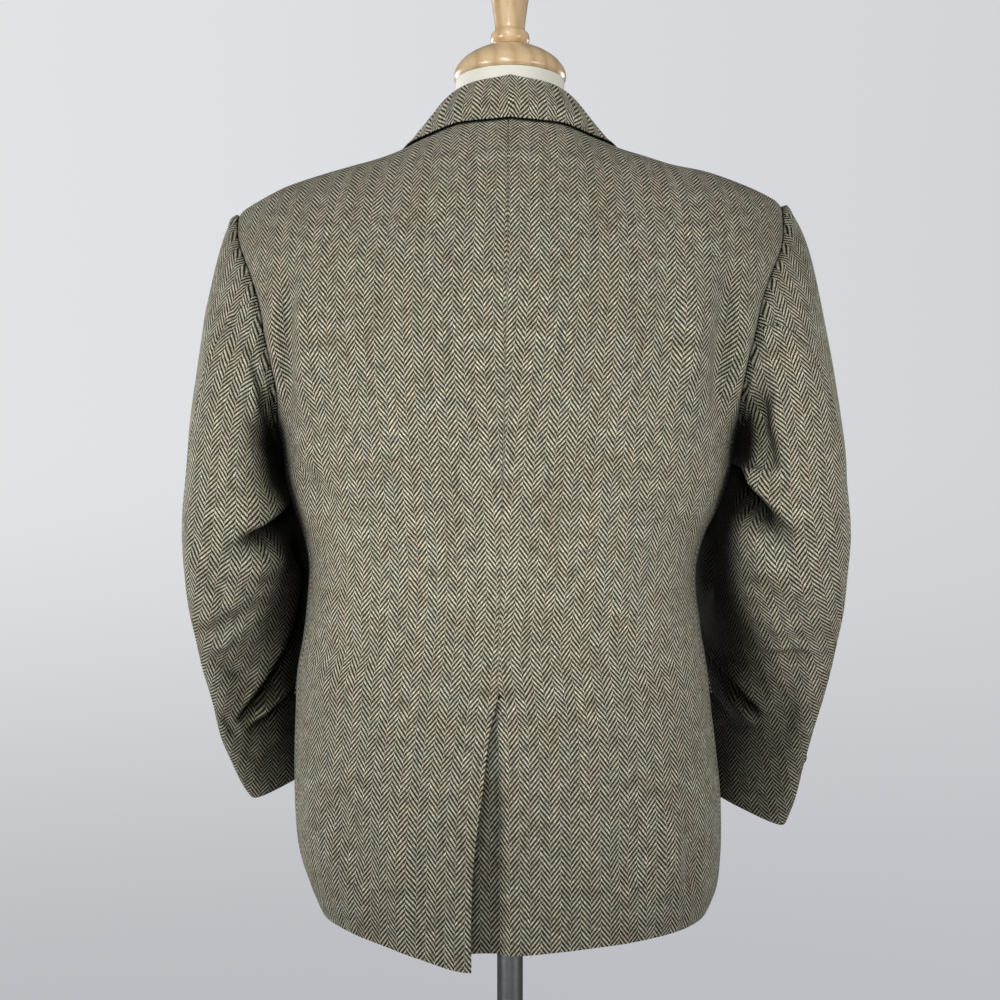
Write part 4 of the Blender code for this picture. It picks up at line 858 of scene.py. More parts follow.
# ---- sleeves ----
class Sleeve:
    """One sleeve: turn 0 is outermost, 90 behind, 180 innermost, 270 in front; q runs down it."""

    def __init__(self, side, table):
        self.side = side
        self.length = table[-1][0]
        self.columns = columns(table, SLEEVE_COLUMNS)

    def sized(self, along):
        return {name: curve(along) for name, curve in self.columns.items()}

    def ring(self, turn, along):
        get, before, after = self.sized(along), self.sized(along - RING_STEP), self.sized(along + RING_STEP)
        lean = np.radians(get["lean"])
        full = 1 + SLEEVE_FULLNESS * np.sin(2 * turn + lean) ** 2
        x = (get["outer"] - get["inner"]) / 2 * np.cos(turn) * full
        y = get["half_depth"] * np.sin(turn + lean) * full
        drop = after["height"] - before["height"]
        drift = (after["outer"] + after["inner"] - before["outer"] - before["inner"]) / 2
        tilt_x = np.clip(-drift / drop, -RING_TILT, RING_TILT)
        tilt_y = -(after["middle_y"] - before["middle_y"]) / drop
        out = self.side * ((get["outer"] + get["inner"]) / 2 + x)
        z = get["height"] + tilt_x * x + tilt_y * y
        return np.stack(np.broadcast_arrays(out, get["middle_y"] + y, z), -1)

    def edge(self, turn):
        """A point of the armhole's edge, as girth and height."""
        curves = ARM_EDGE[self.side]
        degrees = np.degrees(turn)
        return np.radians(curves["girth"](degrees)), curves["height"](degrees)

    def armhole(self, turn):
        """The sleeve's start: the armhole's edge moved off by the seam's gap, and its normal."""
        point = torso(self.side, *self.edge(turn))
        normal = torso_normal(self.side, *self.edge(turn))
        low, high = (np.clip(turn + move, 0, FULL_TURN) for move in (-EDGE_STEP, EDGE_STEP))
        tangent = torso(self.side, *self.edge(high)) - torso(self.side, *self.edge(low))
        return point + unit(-self.side * np.cross(normal, tangent)) * SEAM_GAP, normal

    def reach_out(self, turn):
        """The way in which the sleeve leaves the armhole."""
        drop = -CAP_DROP[self.side] * np.cos(turn / 2) ** 8
        return unit(np.stack([np.full(turn.shape, float(self.side)), np.zeros(turn.shape), drop], -1))

    def point(self, turn, q):
        turn, q = np.broadcast_arrays(np.asarray(turn, float), np.asarray(q, float))
        lower = self.ring(turn, np.clip((q - CAP_SHARE) / (1 - CAP_SHARE), 0, 1) * self.length)
        first, _ = self.armhole(turn)
        last = self.ring(turn, np.zeros(turn.shape))
        down = unit(self.ring(turn, np.full(turn.shape, RING_NEAR)) - last)
        span = np.linalg.norm(last - first, axis=-1, keepdims=True)
        start, leave, end, arrive = hermite(np.clip(q / CAP_SHARE, 0, 1)[..., None])
        pull = np.minimum(CAP_START_REACH[self.side], span * CAP_START_SHARE)
        push = np.minimum(CAP_END_REACH, span * CAP_END_SHARE)
        upper = start * first + leave * pull * self.reach_out(turn) + end * last + arrive * push * down
        return np.where((q < CAP_SHARE)[..., None], upper, lower)

    def normal(self, turn, q):
        q0, q1 = np.clip(q - STEP, 0, 1), np.clip(q + STEP, 0, 1)
        t0, t1 = np.clip(turn - STEP, 0, FULL_TURN), np.clip(turn + STEP, 0, FULL_TURN)
        around = self.point(t1, q) - self.point(t0, q)
        n = unit(-self.side * np.cross(around, self.point(turn, q1) - self.point(turn, q0)))
        _, seam = self.armhole(turn)
        share = ramp(q, 0.0, HEAD_BLEND)[..., None]
        return unit(seam * (1 - share) + n * share)


def shared_rows(side, up):
    """Rows that back, side and front share, with rows at the vent's top and the armhole's joints."""
    f = np.linspace(0, 1, ROW_SAMPLES)
    low = hem_height(side, 0.0)
    middle = low + (height_over(side, 0.0, NECK_BACK) - low) * rows_up(f)
    vent = np.interp((VENT_TOP - VENT_ROW, VENT_TOP, VENT_TOP + VENT_ROW), middle, f)
    joint = np.interp(ARM_JOINT_HEIGHT, seam_height(side, f), f)
    rows = np.concatenate([HEM_ROWS, np.linspace(0, 1, up + 1)])
    for fixed in (vent.mean(), joint):
        rows = rows[(np.abs(rows - fixed) > ROW_ROOM / up) | (rows == 1)]
    return np.unique(np.concatenate([rows, vent, [joint]])), joint


def sleeve_seams(side):
    """Turns of the hind and fore seams down the sleeve, from the body's points at the armhole down."""
    rows, _ = shared_rows(side, PANEL_ROWS)
    heights = seam_height(side, rows[seam_height(side, rows) > ARM_JOINT_HEIGHT + 1e-6])
    low = armhole_low(side, SIDE_SEAM + (DART_SEAM - SIDE_SEAM) * np.linspace(0, 1, SIDE_ACROSS + 1))
    nodes = np.concatenate([armhole_turn(side, heights, False), low, armhole_turn(side, heights, True)])
    nodes = np.radians(np.unique(nodes.round(6)))
    trim = SEAM_GAP / 2 / SEAM_RADIUS

    def moved(name, q):
        table = column(SLEEVE_SEAMS, SLEEVE_SEAM_COLUMNS, "share", name)
        start = float(table(0.0))
        nearest = math.degrees(nodes[np.abs(nodes - math.radians(start)).argmin()])
        return np.radians(table(q) + (nearest - start) * (1 - ramp(q, 0.0, SEAM_SETTLE)))

    def hind_at(q, towards):
        opened = math.radians(VENT_OPEN[side]) * ramp(q, VENT_SHARE, 1.0) / 2
        return moved(f"hind_{SIDE_NAMES[side]}", q) + towards * (trim + opened)

    def fore_at(q, towards):
        return moved("fore", q) + towards * trim

    return hind_at, fore_at


# ---- collar ----
def over(side, out, y, lift):
    """A point lifted off the jacket's outside, over a point of the plan near the shoulders."""
    out, y = np.asarray(float(out)), np.asarray(float(y))
    step = 10 * STEP
    z = height_over(side, out, y)
    slope_x = (height_over(side, out + step, y) - z) / step
    slope_y = (height_over(side, out, y + step) - z) / step
    return np.array((side * out, y, z)) + unit(np.array((-side * slope_x, -slope_y, 1.0))) * lift


def collar_profiles(count, across):
    """Middle lines of the collar's section, from the left front end round the back to the right."""
    get = columns(COLLAR_STATIONS, COLLAR_COLUMNS)
    last = COLLAR_STATIONS[-1][0]
    lines = []
    for station in np.linspace(last, -last, count):
        side = 1 if station >= 0 else -1
        at = {name: float(curve(abs(station))) for name, curve in get.items()}
        seam = over(side, at["seam_x"], at["seam_y"], 0.0) + (0, 0, STAND_LIFT)
        roll = over(side, at["roll_x"], at["roll_y"], 0.0) + (0, 0, at["stand"])
        edge = over(side, at["edge_x"], at["edge_y"], WALL / 2 + COLLAR_LIFT)
        away = unit((edge - seam) * (1, 1, 0))
        seam = seam - away * (WALL / 2 + STAND_INSET)
        inner, outer = (roll + way * away * ROLL_HALF - (0, 0, ROLL_HALF) for way in (-1, 1))
        rise = max(outer[2] - float(height_over(side, abs(outer[0]), outer[1])), 0.0)
        falls = []
        for share in FALL_SHARES:
            x, y, _ = outer * (1 - share) + edge * share
            lift = WALL / 2 + COLLAR_LIFT + FALL_FULLNESS * rise * (1 - share) ** 2
            falls.append(over(side, abs(x), y, lift))
        knots = [seam, seam * 0.5 + inner * 0.5, inner, roll, outer, *falls, edge]
        lines.append(smooth_line(knots, np.linspace(0, 1, across + 1)))
    return np.array(lines)


# ---- creases ----
def bell(distance, width):
    return np.exp(-(distance / width) ** 2)


def near_line(a, b, line):
    """Distance from a line of knots, share of the way along it, and on which side a point is."""
    knots = np.asarray(line, float)
    runs = np.linalg.norm(np.diff(knots, axis=0), axis=1)
    starts = np.concatenate([[0.0], np.cumsum(runs)])
    nearest = np.full(a.shape, np.inf)
    place = np.zeros(a.shape)
    below = np.zeros(a.shape)
    for k, run in enumerate(runs):
        way = (knots[k + 1] - knots[k]) / run
        off_a, off_b = a - knots[k, 0], b - knots[k, 1]
        t = np.clip(off_a * way[0] + off_b * way[1], 0, run)
        gap = np.hypot(off_a - way[0] * t, off_b - way[1] * t)
        closer = gap < nearest
        nearest = np.where(closer, gap, nearest)
        place = np.where(closer, (starts[k] + t) / starts[-1], place)
        below = np.where(closer, off_a * way[1] - off_b * way[0], below)
    return nearest, place, below


def along_line(a, b, line, width, rise):
    """A soft crease along a line, tapering to its ends; all in one unit."""
    gap, place, _ = near_line(a, b, line)
    taper = ramp(place, 0, CREASE_TAPER) * ramp(1 - place, 0, CREASE_TAPER)
    return rise * bell(gap, width) * (CREASE_END + (1 - CREASE_END) * taper)


def folded_over(a, b, line, rise, sink, above, below, fade):
    """A fold along a line whose edge stands out over a hollow."""
    gap, place, side = near_line(a, b, line)
    under = ramp(np.sign(side) * gap, -FOLD_EDGE, FOLD_EDGE)
    lift = rise * bell(gap, above) * (1 - under) - sink * bell(gap, below) * under
    return lift * ramp(1 - place, 0, fade)


def uneven(waves, *axes):
    """Small swells of worn cloth, as products of two waves over the axes."""
    total = 0.0
    for share, *pair in waves:
        first, second = (sum(k * axis for k, axis in zip(wave, axes)) for wave in pair)
        total = total + share * np.sin(first) * np.sin(second)
    return total * UNEVEN


def body_creases(base):
    """How far the worn cloth stands off the smooth surface at points of the torso."""
    x, y, z = np.moveaxis(base, -1, 0)
    back = sum(along_line(x / MM, z / MM, *crease) for crease in BACK_CREASES)
    front = sum(along_line(x / MM, z / MM, *crease) for crease in FRONT_CREASES)
    behind = ramp(y, *SIDE_BLEND)
    lift = (behind * back + (1 - behind) * front) * MM
    return (lift + uneven(BODY_WAVES, x, y, z, 1)) * ramp(-z, -CALM_SHOULDER[1], -CALM_SHOULDER[0])


def sleeve_creases(sleeve, turn, q):
    """The same on a sleeve, over its turn and the share of the way down."""
    length = sleeve.length / (1 - CAP_SHARE)

    def spread(turn_there, share):
        return turn_there * SLEEVE_REACH / MM, share * length / MM

    lift = 0.0
    for shape, table in ((along_line, SLEEVE_CREASES), (folded_over, SLEEVE_FOLDS)):
        for line, *sizes in table[sleeve.side]:
            knots = [spread(math.radians(degrees), share) for degrees, share in line]
            lift = lift + shape(*spread(turn, q), knots, *sizes) * MM
    return (lift + uneven(SLEEVE_WAVES, turn, q * length, 1, sleeve.side)) * ramp(q, 0.0, CALM_HEAD)


# ---- distances on the cloth ----
def running(points, axis):
    """Distance travelled along one axis of a grid of points."""
    steps = np.linalg.norm(np.diff(points, axis=axis), axis=-1)
    zero = np.zeros_like(np.take(steps, [0], axis=axis))
    return np.concatenate([zero, np.cumsum(steps, axis=axis)], axis=axis)


def edge_distances(points):
    """Distances over a grid of points from its first row, last row, first column and last column."""
    down, across = running(points, 0), running(points, 1)
    return down, down[-1:] - down, across, across[:, -1:] - across


def look_up(table, rows, cols, row, col):
    """Value of a table between its rows and columns."""
    i = np.clip(np.searchsorted(rows, row, side="right") - 1, 0, len(rows) - 2)
    j = np.clip(np.searchsorted(cols, col, side="right") - 1, 0, len(cols) - 2)
    s = (row - rows[i]) / (rows[i + 1] - rows[i])
    t = (col - cols[j]) / (cols[j + 1] - cols[j])
    low = table[i, j] * (1 - t) + table[i, j + 1] * t
    high = table[i + 1, j] * (1 - t) + table[i + 1, j + 1] * t
    return low * (1 - s) + high * s


class Measure:
    """Lengths on the smooth torso: round it at a height, and up it at a girth."""

    def __init__(self, side):
        self.girths = np.linspace(0, math.pi, MEASURE_GIRTHS)
        self.heights = np.linspace(*MEASURE_HEIGHTS)
        points = torso(side, self.girths, self.heights[:, None])
        self.around = running(points, 1)
        up = running(points, 0)
        self.up = up - up[np.abs(self.heights - MEASURE_ZERO).argmin()]

    def round_at(self, girth, height):
        sign = np.where(girth < 0, -1.0, 1.0)
        return sign * look_up(self.around, self.heights, self.girths, height, np.abs(girth))

    def up_at(self, girth, height):
        return look_up(self.up, self.heights, self.girths, height, np.abs(girth))


MEASURE = {side: Measure(side) for side in SIDE_NAMES}
GRAIN_OUT = columns(GRAIN, GRAIN_COLUMNS)


def body_cloth(side, girth, height, kind):
    """Place in the flat cloth, in metres across and up, of a point of a body panel."""
    measure = MEASURE[side]
    grain_girth = girth_at(side, side * GRAIN_OUT[SIDE_NAMES[side]](height), height)
    start = {"back": grain_girth, "side": SIDE_GRAIN, "front": math.pi}[kind]
    across = measure.round_at(girth, height) - measure.round_at(start, height)
    return np.stack([-across if kind == "front" else across, measure.up_at(girth, height)], -1)


# ---- making meshes ----
LOOKS = {}


def add_mesh(name, points, faces, look, sharp=SHARP_SOLID):
    """A smooth-shaded object with the edges over so many degrees left sharp."""
    mesh = bpy.data.meshes.new(name)
    mesh.from_pydata(points.tolist(), [], faces)
    mesh.shade_smooth()
    mesh.set_sharp_from_angle(angle=math.radians(sharp))
    mesh.materials.append(look)
    made = bpy.data.objects.new(name, mesh)
    bpy.context.scene.collection.objects.link(made)
    return made


def settle(piece, slot, *nodes):
    """Hide the solids that the piece is shown for and keep it with the root; slot is not used."""
    if nodes:
        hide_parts(*nodes)
    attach(piece, "root")


def axes_on(way, hint):
    """A unit vector along a way and two square to it."""
    up = unit(np.asarray(way, float))
    aside = unit(np.cross(up, hint))
    return up, aside, np.cross(up, aside)


def tube_faces(count, sides):
    """The faces between so many rings of points."""
    ids = np.arange(count * sides).reshape(count, sides)
    after = np.roll(ids, -1, axis=1)
    return np.stack([ids[:-1], after[:-1], after[1:], ids[1:]], -1).reshape(-1, 4).tolist()


def capped_tube(name, rings, look):
    """A tube through rings of points, closed at both ends."""
    count, sides = rings.shape[:2]
    ends = [list(range(sides))[::-1], list(range((count - 1) * sides, count * sides))]
    return add_mesh(name, rings.reshape(-1, 3), tube_faces(count, sides) + ends, look)


def cloth_piece(node, base, n, lift, groove, hollow, uv):
    """A closed wall of cloth whose outside lies lifted off a grid, with its place in the flat cloth."""
    outside = base + n * (lift - np.maximum(groove, hollow))[..., None]
    inside = base + n * (lift - WALL + hollow)[..., None]
    ids = np.arange(outside[..., 0].size).reshape(outside.shape[:2])
    a, b, c, d = ids[:-1, :-1], ids[:-1, 1:], ids[1:, 1:], ids[1:, :-1]
    rim = np.concatenate([ids[0], ids[1:, -1], ids[-1, -2::-1], ids[-2:0:-1, 0]])
    after = np.roll(rim, -1)
    walls = [np.stack([a, b, c, d], -1), np.stack([a, d, c, b], -1) + ids.size,
             np.stack([rim, rim + ids.size, after + ids.size, after], -1)]
    faces = np.concatenate([wall.reshape(-1, 4) for wall in walls])
    outward = np.cross(outside[1, 0] - outside[0, 0], outside[0, 1] - outside[0, 0])
    if np.dot(outward, outside[0, 0] - inside[0, 0]) > 0:
        faces = faces[:, ::-1]
    points = np.concatenate([outside.reshape(-1, 3), inside.reshape(-1, 3)])
    piece = add_mesh(f"look_{node}", points, faces.tolist(), LOOKS["tweed"], SHARP_CLOTH)
    corners = np.empty(len(piece.data.loops), int)
    piece.data.loops.foreach_get("vertex_index", corners)
    flat = uv.reshape(-1, 2)[corners % ids.size].astype(np.float32)
    piece.data.uv_layers.new(name="cloth").data.foreach_set("uv", flat.ravel())
    settle(piece, "tweed", node)


def fine_shares(count, lines=EDGE_LINES):
    return np.unique(np.concatenate([np.linspace(0, 1, count), lines, 1 - np.array(lines)]))


def seamed(*distances):
    """The groove of a seam, by the distances from the edges that are sewn."""
    return SEAM_GROOVE[0] * bell(np.minimum.reduce(distances), SEAM_GROOVE[1])


def rounded(*distances):
    """How much an open edge is rounded off, by the distances from such edges."""
    return EDGE_ROUND[0] * bell(np.minimum.reduce(distances), EDGE_ROUND[1])


# ---- body of the jacket ----
def vent_lift(side, base):
    """The vent's flap curls off, and the cloth behind it sinks beside the flap's edge."""
    rise, middle, width = VENT_KICK if side > 0 else VENT_HOLLOW
    beside = base[..., 0] - VENT_OUT(base[..., 2])
    lift = rise * ramp(base[..., 1], *VENT_BEHIND) * ramp(-base[..., 2], -VENT_TOP, -VENT_LOW)
    lift = lift * bell(beside - middle, width)
    return lift * (beside >= -VENT_LAP) if side > 0 else lift


def cloth_panel(kind, patch, side, rows):
    """A body panel: smooth surface, creases, seams and edges."""
    f, c = np.meshgrid(rows, fine_shares(LOOK_ACROSS[kind] + 1), indexing="ij")
    girth, height, inset = patch(side, c, f)
    smooth_base = torso(side, girth, height)
    base = torso(side, girth, height, inset)
    lift = body_creases(smooth_base)
    from_low, from_top, from_in, from_out = edge_distances(base)
    over_joint = ramp(smooth_base[..., 2], *ARMHOLE_RUN)
    sink = ARMHOLE_SINK[0] * bell(from_in if kind == "front" else from_out, ARMHOLE_SINK[1]) * over_joint
    hollow = rounded(from_low)
    if kind == "back":
        lift = lift + vent_lift(side, smooth_base)
        shoulder = seamed(from_top) * ramp(c, NECK_COLUMNS, NECK_COLUMNS + NECK_SEAM_FADE)
        groove = np.maximum(np.maximum(seamed(from_in), seamed(from_out) + sink), shoulder)
    elif kind == "side":
        groove = seamed(from_in, from_out, from_top)
    else:
        groove = np.maximum(seamed(from_in, from_top), sink)
        hollow = rounded(from_low, from_out)
    uv = body_cloth(side, girth, height, kind)
    node = f"{kind}_{SIDE_NAMES[side]}"
    cloth_piece(node, base, torso_normal(side, girth, height), lift, groove, hollow, uv)


def cloth_lapel(side):
    """The lapel, rolled softly at its inner edge."""
    rows, across = LOOK_LAPEL
    f, c = np.meshgrid(np.linspace(0, 1, rows), fine_shares(across, LAPEL_EDGE_LINES), indexing="ij")
    begin = BREAK_HEIGHT if side > 0 else UNDER_BREAK_HEIGHT
    along = begin + (LAPEL_TOP - begin) * f
    share = (along - BREAK_HEIGHT) / (LAPEL_TOP - BREAK_HEIGHT)
    inner = EDGE_OUT(along) - LAPEL_ROLL
    outer = EDGE_OUT(along) + column(LAPEL_WIDTHS, LAPEL_COLUMNS, "along", "width")(share)
    if side < 0:
        inner = np.maximum(inner, LAPEL_TUCK - EDGE_OUT(along))
        outer = np.maximum(outer, inner + LAPEL_ROLL)
    height = along + np.interp(c, *zip(*LAPEL_GORGE)) * share ** 2
    girth = girth_at(side, inner + (outer - inner) * c, height, True)
    base = torso(side, girth, height)
    roll = bell(c - ROLL_PLACE, ROLL_SPREAD) * ramp(share, 0.0, ROLL_PLACE)
    tip = ramp(c, TIP_ACROSS, 1.0) * ramp(share, TIP_ALONG, 1.0)
    lift = WALL + LAY_GAP + ROLL_RISE * roll + TIP_RISE * tip + body_creases(base)
    from_low, from_top, from_in, from_out = edge_distances(base)
    uv = np.stack([from_out, from_low], -1)
    hollow = rounded(from_out, from_top, from_in)
    cloth_piece(f"lapel_{SIDE_NAMES[side]}", base, torso_normal(side, girth, height), lift, 0, hollow, uv)


def cloth_collar():
    """The collar, on the same middle lines cut finer."""
    middle = collar_profiles(*LOOK_COLLAR)
    n = unit(np.cross(np.gradient(middle, axis=0), np.gradient(middle, axis=1)))
    from_left, from_right, from_stand, from_edge = edge_distances(middle)
    fall = from_left[:, -1:] - from_left[len(middle) // 2, -1]
    uv = np.stack(np.broadcast_arrays(fall, -from_stand), -1)
    cloth_piece("collar", middle, n, WALL / 2, 0, rounded(from_left, from_right, from_edge), uv)


def cloth_flap(side):
    """The slanted flap, its cloth matched to the front."""
    rows, across = LOOK_FLAP
    f, c = np.meshgrid(fine_shares(rows + 1), fine_shares(across + 1), indexing="ij")
    girth, height = (front + (rear - front) * c for front, rear in zip(FLAP_FRONT, FLAP_REAR))
    height = height - FLAP_DROP * f + FLAP_CORNER * (2 * c - 1) ** 8 * f
    base = torso(side, girth, height)
    kick = FLAP_REAR_KICK * c ** 4 * (FLAP_KICK_TOP + (1 - FLAP_KICK_TOP) * f)
    lift = WALL + FLAP_LIFT + FLAP_FALL * f + kick + body_creases(base)
    uv = body_cloth(side, girth, height, "front")
    n = torso_normal(side, girth, height)
    cloth_piece(f"pocket_flap_{SIDE_NAMES[side]}", base, n, lift, 0, rounded(*edge_distances(base)), uv)


# ---- sleeves' cloth ----
SPRINGS = (
    (np.s_[:, :-1], np.s_[:, 1:]),
    (np.s_[:-1, :], np.s_[1:, :]),
    (np.s_[:-1, :-1], np.s_[1:, 1:]),
    (np.s_[:-1, 1:], np.s_[1:, :-1]),
)


def lay_flat(points, flat):
    """Flatten a grid of cloth: springs to its neighbours pull each point of a first layout into place."""
    lengths = [np.linalg.norm(points[b] - points[a], axis=-1) for a, b in SPRINGS]
    for k in range(FLAT_ROUNDS):
        if k % FLAT_EASE == 0 and k < FLAT_ROUNDS * FLAT_EASED:
            around = (flat[:-2, 1:-1] + flat[2:, 1:-1] + flat[1:-1, :-2] + flat[1:-1, 2:]) / 4
            flat[1:-1, 1:-1] = (flat[1:-1, 1:-1] + around) / 2
        move = np.zeros_like(flat)
        for (a, b), length in zip(SPRINGS, lengths):
            gap = flat[b] - flat[a]
            now = np.maximum(np.linalg.norm(gap, axis=-1), 1e-9)
            push = gap * ((now - length) / now)[..., None]
            move[a] += push
            move[b] -= push
        flat = flat + move * FLAT_STEP
    return flat


def rolled_on(edge, row, flat):
    """The next row of flat cloth above the last, where the cloth turns over at the armhole seam."""
    along = unit(np.gradient(row, axis=0))
    off = edge - row
    sideways = (off * along).sum(-1, keepdims=True)
    away = np.linalg.norm(off - sideways * along, axis=-1, keepdims=True)
    flat_along = unit(np.gradient(flat[0], axis=0))
    upward = np.stack([-flat_along[:, 1], flat_along[:, 0]], -1)
    way = np.sign((upward * (flat[0] - flat[1])).sum(-1, keepdims=True))
    return flat[0] + flat_along * sideways + upward * way * away


class SleeveCloth:
    """One piece of a smooth sleeve laid flat, with its straight grain upright."""

    def __init__(self, sleeve, start, end, grain_turn, off):
        self.shares = np.concatenate([SEAM_SHARES, np.linspace(*OPEN_SHARES)])
        self.columns = np.linspace(0, 1, FLAT_COLUMNS)
        q, c = np.meshgrid(self.shares, self.columns, indexing="ij")
        points = sleeve.point((start(q) + (end(q) - start(q)) * c) % FULL_TURN, q)
        open_cloth = points[len(SEAM_SHARES):]
        cap = np.abs(self.shares[len(SEAM_SHARES):] - CAP_SHARE).argmin()
        round_it = running(open_cloth, 1)
        round_it[:cap] = round_it[cap]
        down = running(open_cloth, 0)
        flat = lay_flat(open_cloth, np.stack([round_it, down[cap] - down], -1))
        for row in reversed(range(len(SEAM_SHARES))):
            flat = np.concatenate([rolled_on(points[row], points[row + 1], flat)[None], flat])
        first_turn, last_turn = start(self.shares), end(self.shares)
        straight = (math.radians(grain_turn) - first_turn) / (last_turn - first_turn)
        line = [look_up(flat[..., k], self.shares, self.columns, self.shares, straight) for k in range(2)]
        first, last = np.searchsorted(self.shares, GRAIN_RUN)
        tilt = math.atan2(line[0][first] - line[0][last], line[1][first] - line[1][last])
        across, up = (flat[..., k] - line[k][first] for k in range(2))
        self.flat = (across * math.cos(tilt) - up * math.sin(tilt) + off,
                     across * math.sin(tilt) + up * math.cos(tilt))

    def place(self, q, c):
        """Metres across and up in the flat cloth."""
        return np.stack([look_up(part, self.shares, self.columns, q, c) for part in self.flat], -1)


def cloth_sleeve_piece(kind, sleeve, start, end):
    """One piece of a sleeve with its creases, its roped head and its seams."""
    rows = np.unique(np.concatenate([np.linspace(0, 1, LOOK_SLEEVE_ROWS + 1), SLEEVE_EDGE_ROWS]))
    q, c = np.meshgrid(rows, fine_shares(LOOK_SLEEVE_ACROSS[kind] + 1), indexing="ij")
    turn = (start(q) + (end(q) - start(q)) * c) % (FULL_TURN + 1e-9)
    base = sleeve.point(turn, q)
    seam_point, _ = sleeve.armhole(turn)
    from_top, from_cuff, from_start, from_end = edge_distances(base)
    rise, place, spread = ROPE
    lift = sleeve_creases(sleeve, turn, q) + body_creases(seam_point) * (1 - ramp(q, 0.0, HEAD_CARRY))
    lift = lift + rise * bell(from_top - place, spread)
    from_vent, from_fore = (from_start, from_end) if kind == "under" else (from_end, from_start)
    vent_groove = (1 + CUFF_VENT_DEEPER * ramp(q, *CUFF_VENT)) * seamed(from_vent)
    groove = np.maximum(vent_groove, seamed(from_fore, from_top))
    uv = SleeveCloth(sleeve, start, end, *SLEEVE_GRAIN[kind]).place(q, c)
    node = f"{kind}_sleeve_{SIDE_NAMES[sleeve.side]}"
    cloth_piece(node, base, sleeve.normal(turn, q), lift, groove, rounded(from_cuff), uv)


def cloth_sleeves(side, table):
    sleeve = Sleeve(side, table)
    hind, fore = sleeve_seams(side)
    cloth_sleeve_piece("under", sleeve, lambda q: hind(q, 1), lambda q: fore(q, -1))
    cloth_sleeve_piece("top", sleeve, lambda q: fore(q, 1), lambda q: hind(q, -1) + FULL_TURN)
    shares = np.array(CUFF_BUTTON_SHARES)
    turn = (hind(shares, -1) - math.radians(CUFF_BUTTON_INSET)) % FULL_TURN
    n = sleeve.normal(turn, shares)
    seats = sleeve.point(turn, shares) + n * sleeve_creases(sleeve, turn, shares)[..., None]
    for k, seat in enumerate(seats):
        horn_button(f"cuff_button_{SIDE_NAMES[side]}_{k + 1}", seat, n[k], *CUFF_BUTTON_SIZE)


# ---- buttons and thread ----
def lathe(name, profile, middle, look, sides, axis=(0, 0, 1), dent=None):
    """A turned solid on a profile from pole to pole; dent sinks points of its rings along the axis."""
    up, aside, other = axes_on(axis, LATHE_HINT)
    radius, height = np.array(profile[1:-1]).T[..., None]
    turns = FULL_TURN * np.arange(sides) / sides
    a, b = radius * np.cos(turns), radius * np.sin(turns)
    level = height - (dent(a, b) if dent else np.zeros_like(a))
    rings = middle + up * level[..., None] + aside * a[..., None] + other * b[..., None]
    poles = [middle + up * profile[end][1] for end in (0, -1)]
    low, top = rings[..., 0].size, rings[..., 0].size + 1
    faces = tube_faces(len(rings), sides)
    for k in range(sides):
        after = (k + 1) % sides
        faces += [(after, k, low), (low - sides + k, low - sides + after, top)]
    return add_mesh(name, np.concatenate([rings.reshape(-1, 3), poles]), faces, look)


def horn_button(node, seat, n, radius, height):
    """A four-hole button with a raised rim and crossed thread."""
    spread = radius * HOLE_PLACE

    def holes(a, b):
        near = [np.hypot(a - x, b - y) for x in (-spread, spread) for y in (-spread, spread)]
        share = np.maximum(1 - np.minimum.reduce(near) / (radius * HOLE_REACH), 0)
        return np.minimum(share * HOLE_STEEPNESS, 1) * height * HOLE_DEPTH

    rim = [(0, 0), *((radius * wide, height * high) for wide, high in HORN_RIM)]
    sunk = height * HORN_SUNK
    face = [(radius * HORN_FACE * (1 - k / HORN_FACE_RINGS), sunk) for k in range(HORN_FACE_RINGS)]
    lifted = seat + n * LAY_GAP
    piece = lathe(f"look_{node}", [*rim, *face, (0, sunk)], lifted, LOOKS["horn"], HORN_SIDES, n, holes)
    settle(piece, "horn", node)
    up, aside, other = axes_on(n, LATHE_HINT)
    for k, way in enumerate((1, -1)):
        root = lifted + up * height * STRAND_ROOT
        start, end = (root + (aside + way * other) * s * spread for s in (-1, 1))
        middle = lifted + up * (sunk + STRAND_RISES[k])
        thread(f"thread_{node}_{k + 1}", [start, middle, end], radius * STRAND_RADIUS, STRAND_STEPS)


def thread(name, knots, radius, steps):
    """A bent thread through knots, with closed ends."""
    line = smooth_line(knots, np.linspace(0, 1, steps + 1))[:, None]
    _, aside, other = axes_on(np.gradient(line, axis=0), CORD_HINT)
    turns = FULL_TURN * np.arange(CORD_SIDES)[:, None] / CORD_SIDES
    rings = line + (aside * np.cos(turns) + other * np.sin(turns)) * radius
    settle(capped_tube(name, rings, LOOKS["thread"]), "tweed")


def on_left_front(out, height):
    """Points and normals of the creased left front, so far out and so high."""
    girth = girth_at(1, out, height, True)
    base = torso(1, girth, height)
    n = torso_normal(1, girth, height)
    return base + n * body_creases(base)[..., None], n


def front_buttons():
    """The front's buttons, and the stitched edges of their holes."""
    heights = np.array(FRONT_BUTTON_HEIGHTS)
    seats, ways = on_left_front(np.zeros(len(heights)), heights)
    middle, half_length, half_width, lift, radius = BUTTONHOLE
    turns = np.linspace(0, FULL_TURN, BUTTONHOLE_KNOTS)
    for k, height in enumerate(heights):
        horn_button(f"front_button_{k + 1}", seats[k], ways[k], *FRONT_BUTTON_SIZE)
        loop, n = on_left_front(middle + half_length * np.cos(turns), height + half_width * np.sin(turns))
        thread(f"buttonhole_{k + 1}", loop + n * lift, radius, BUTTONHOLE_STEPS)


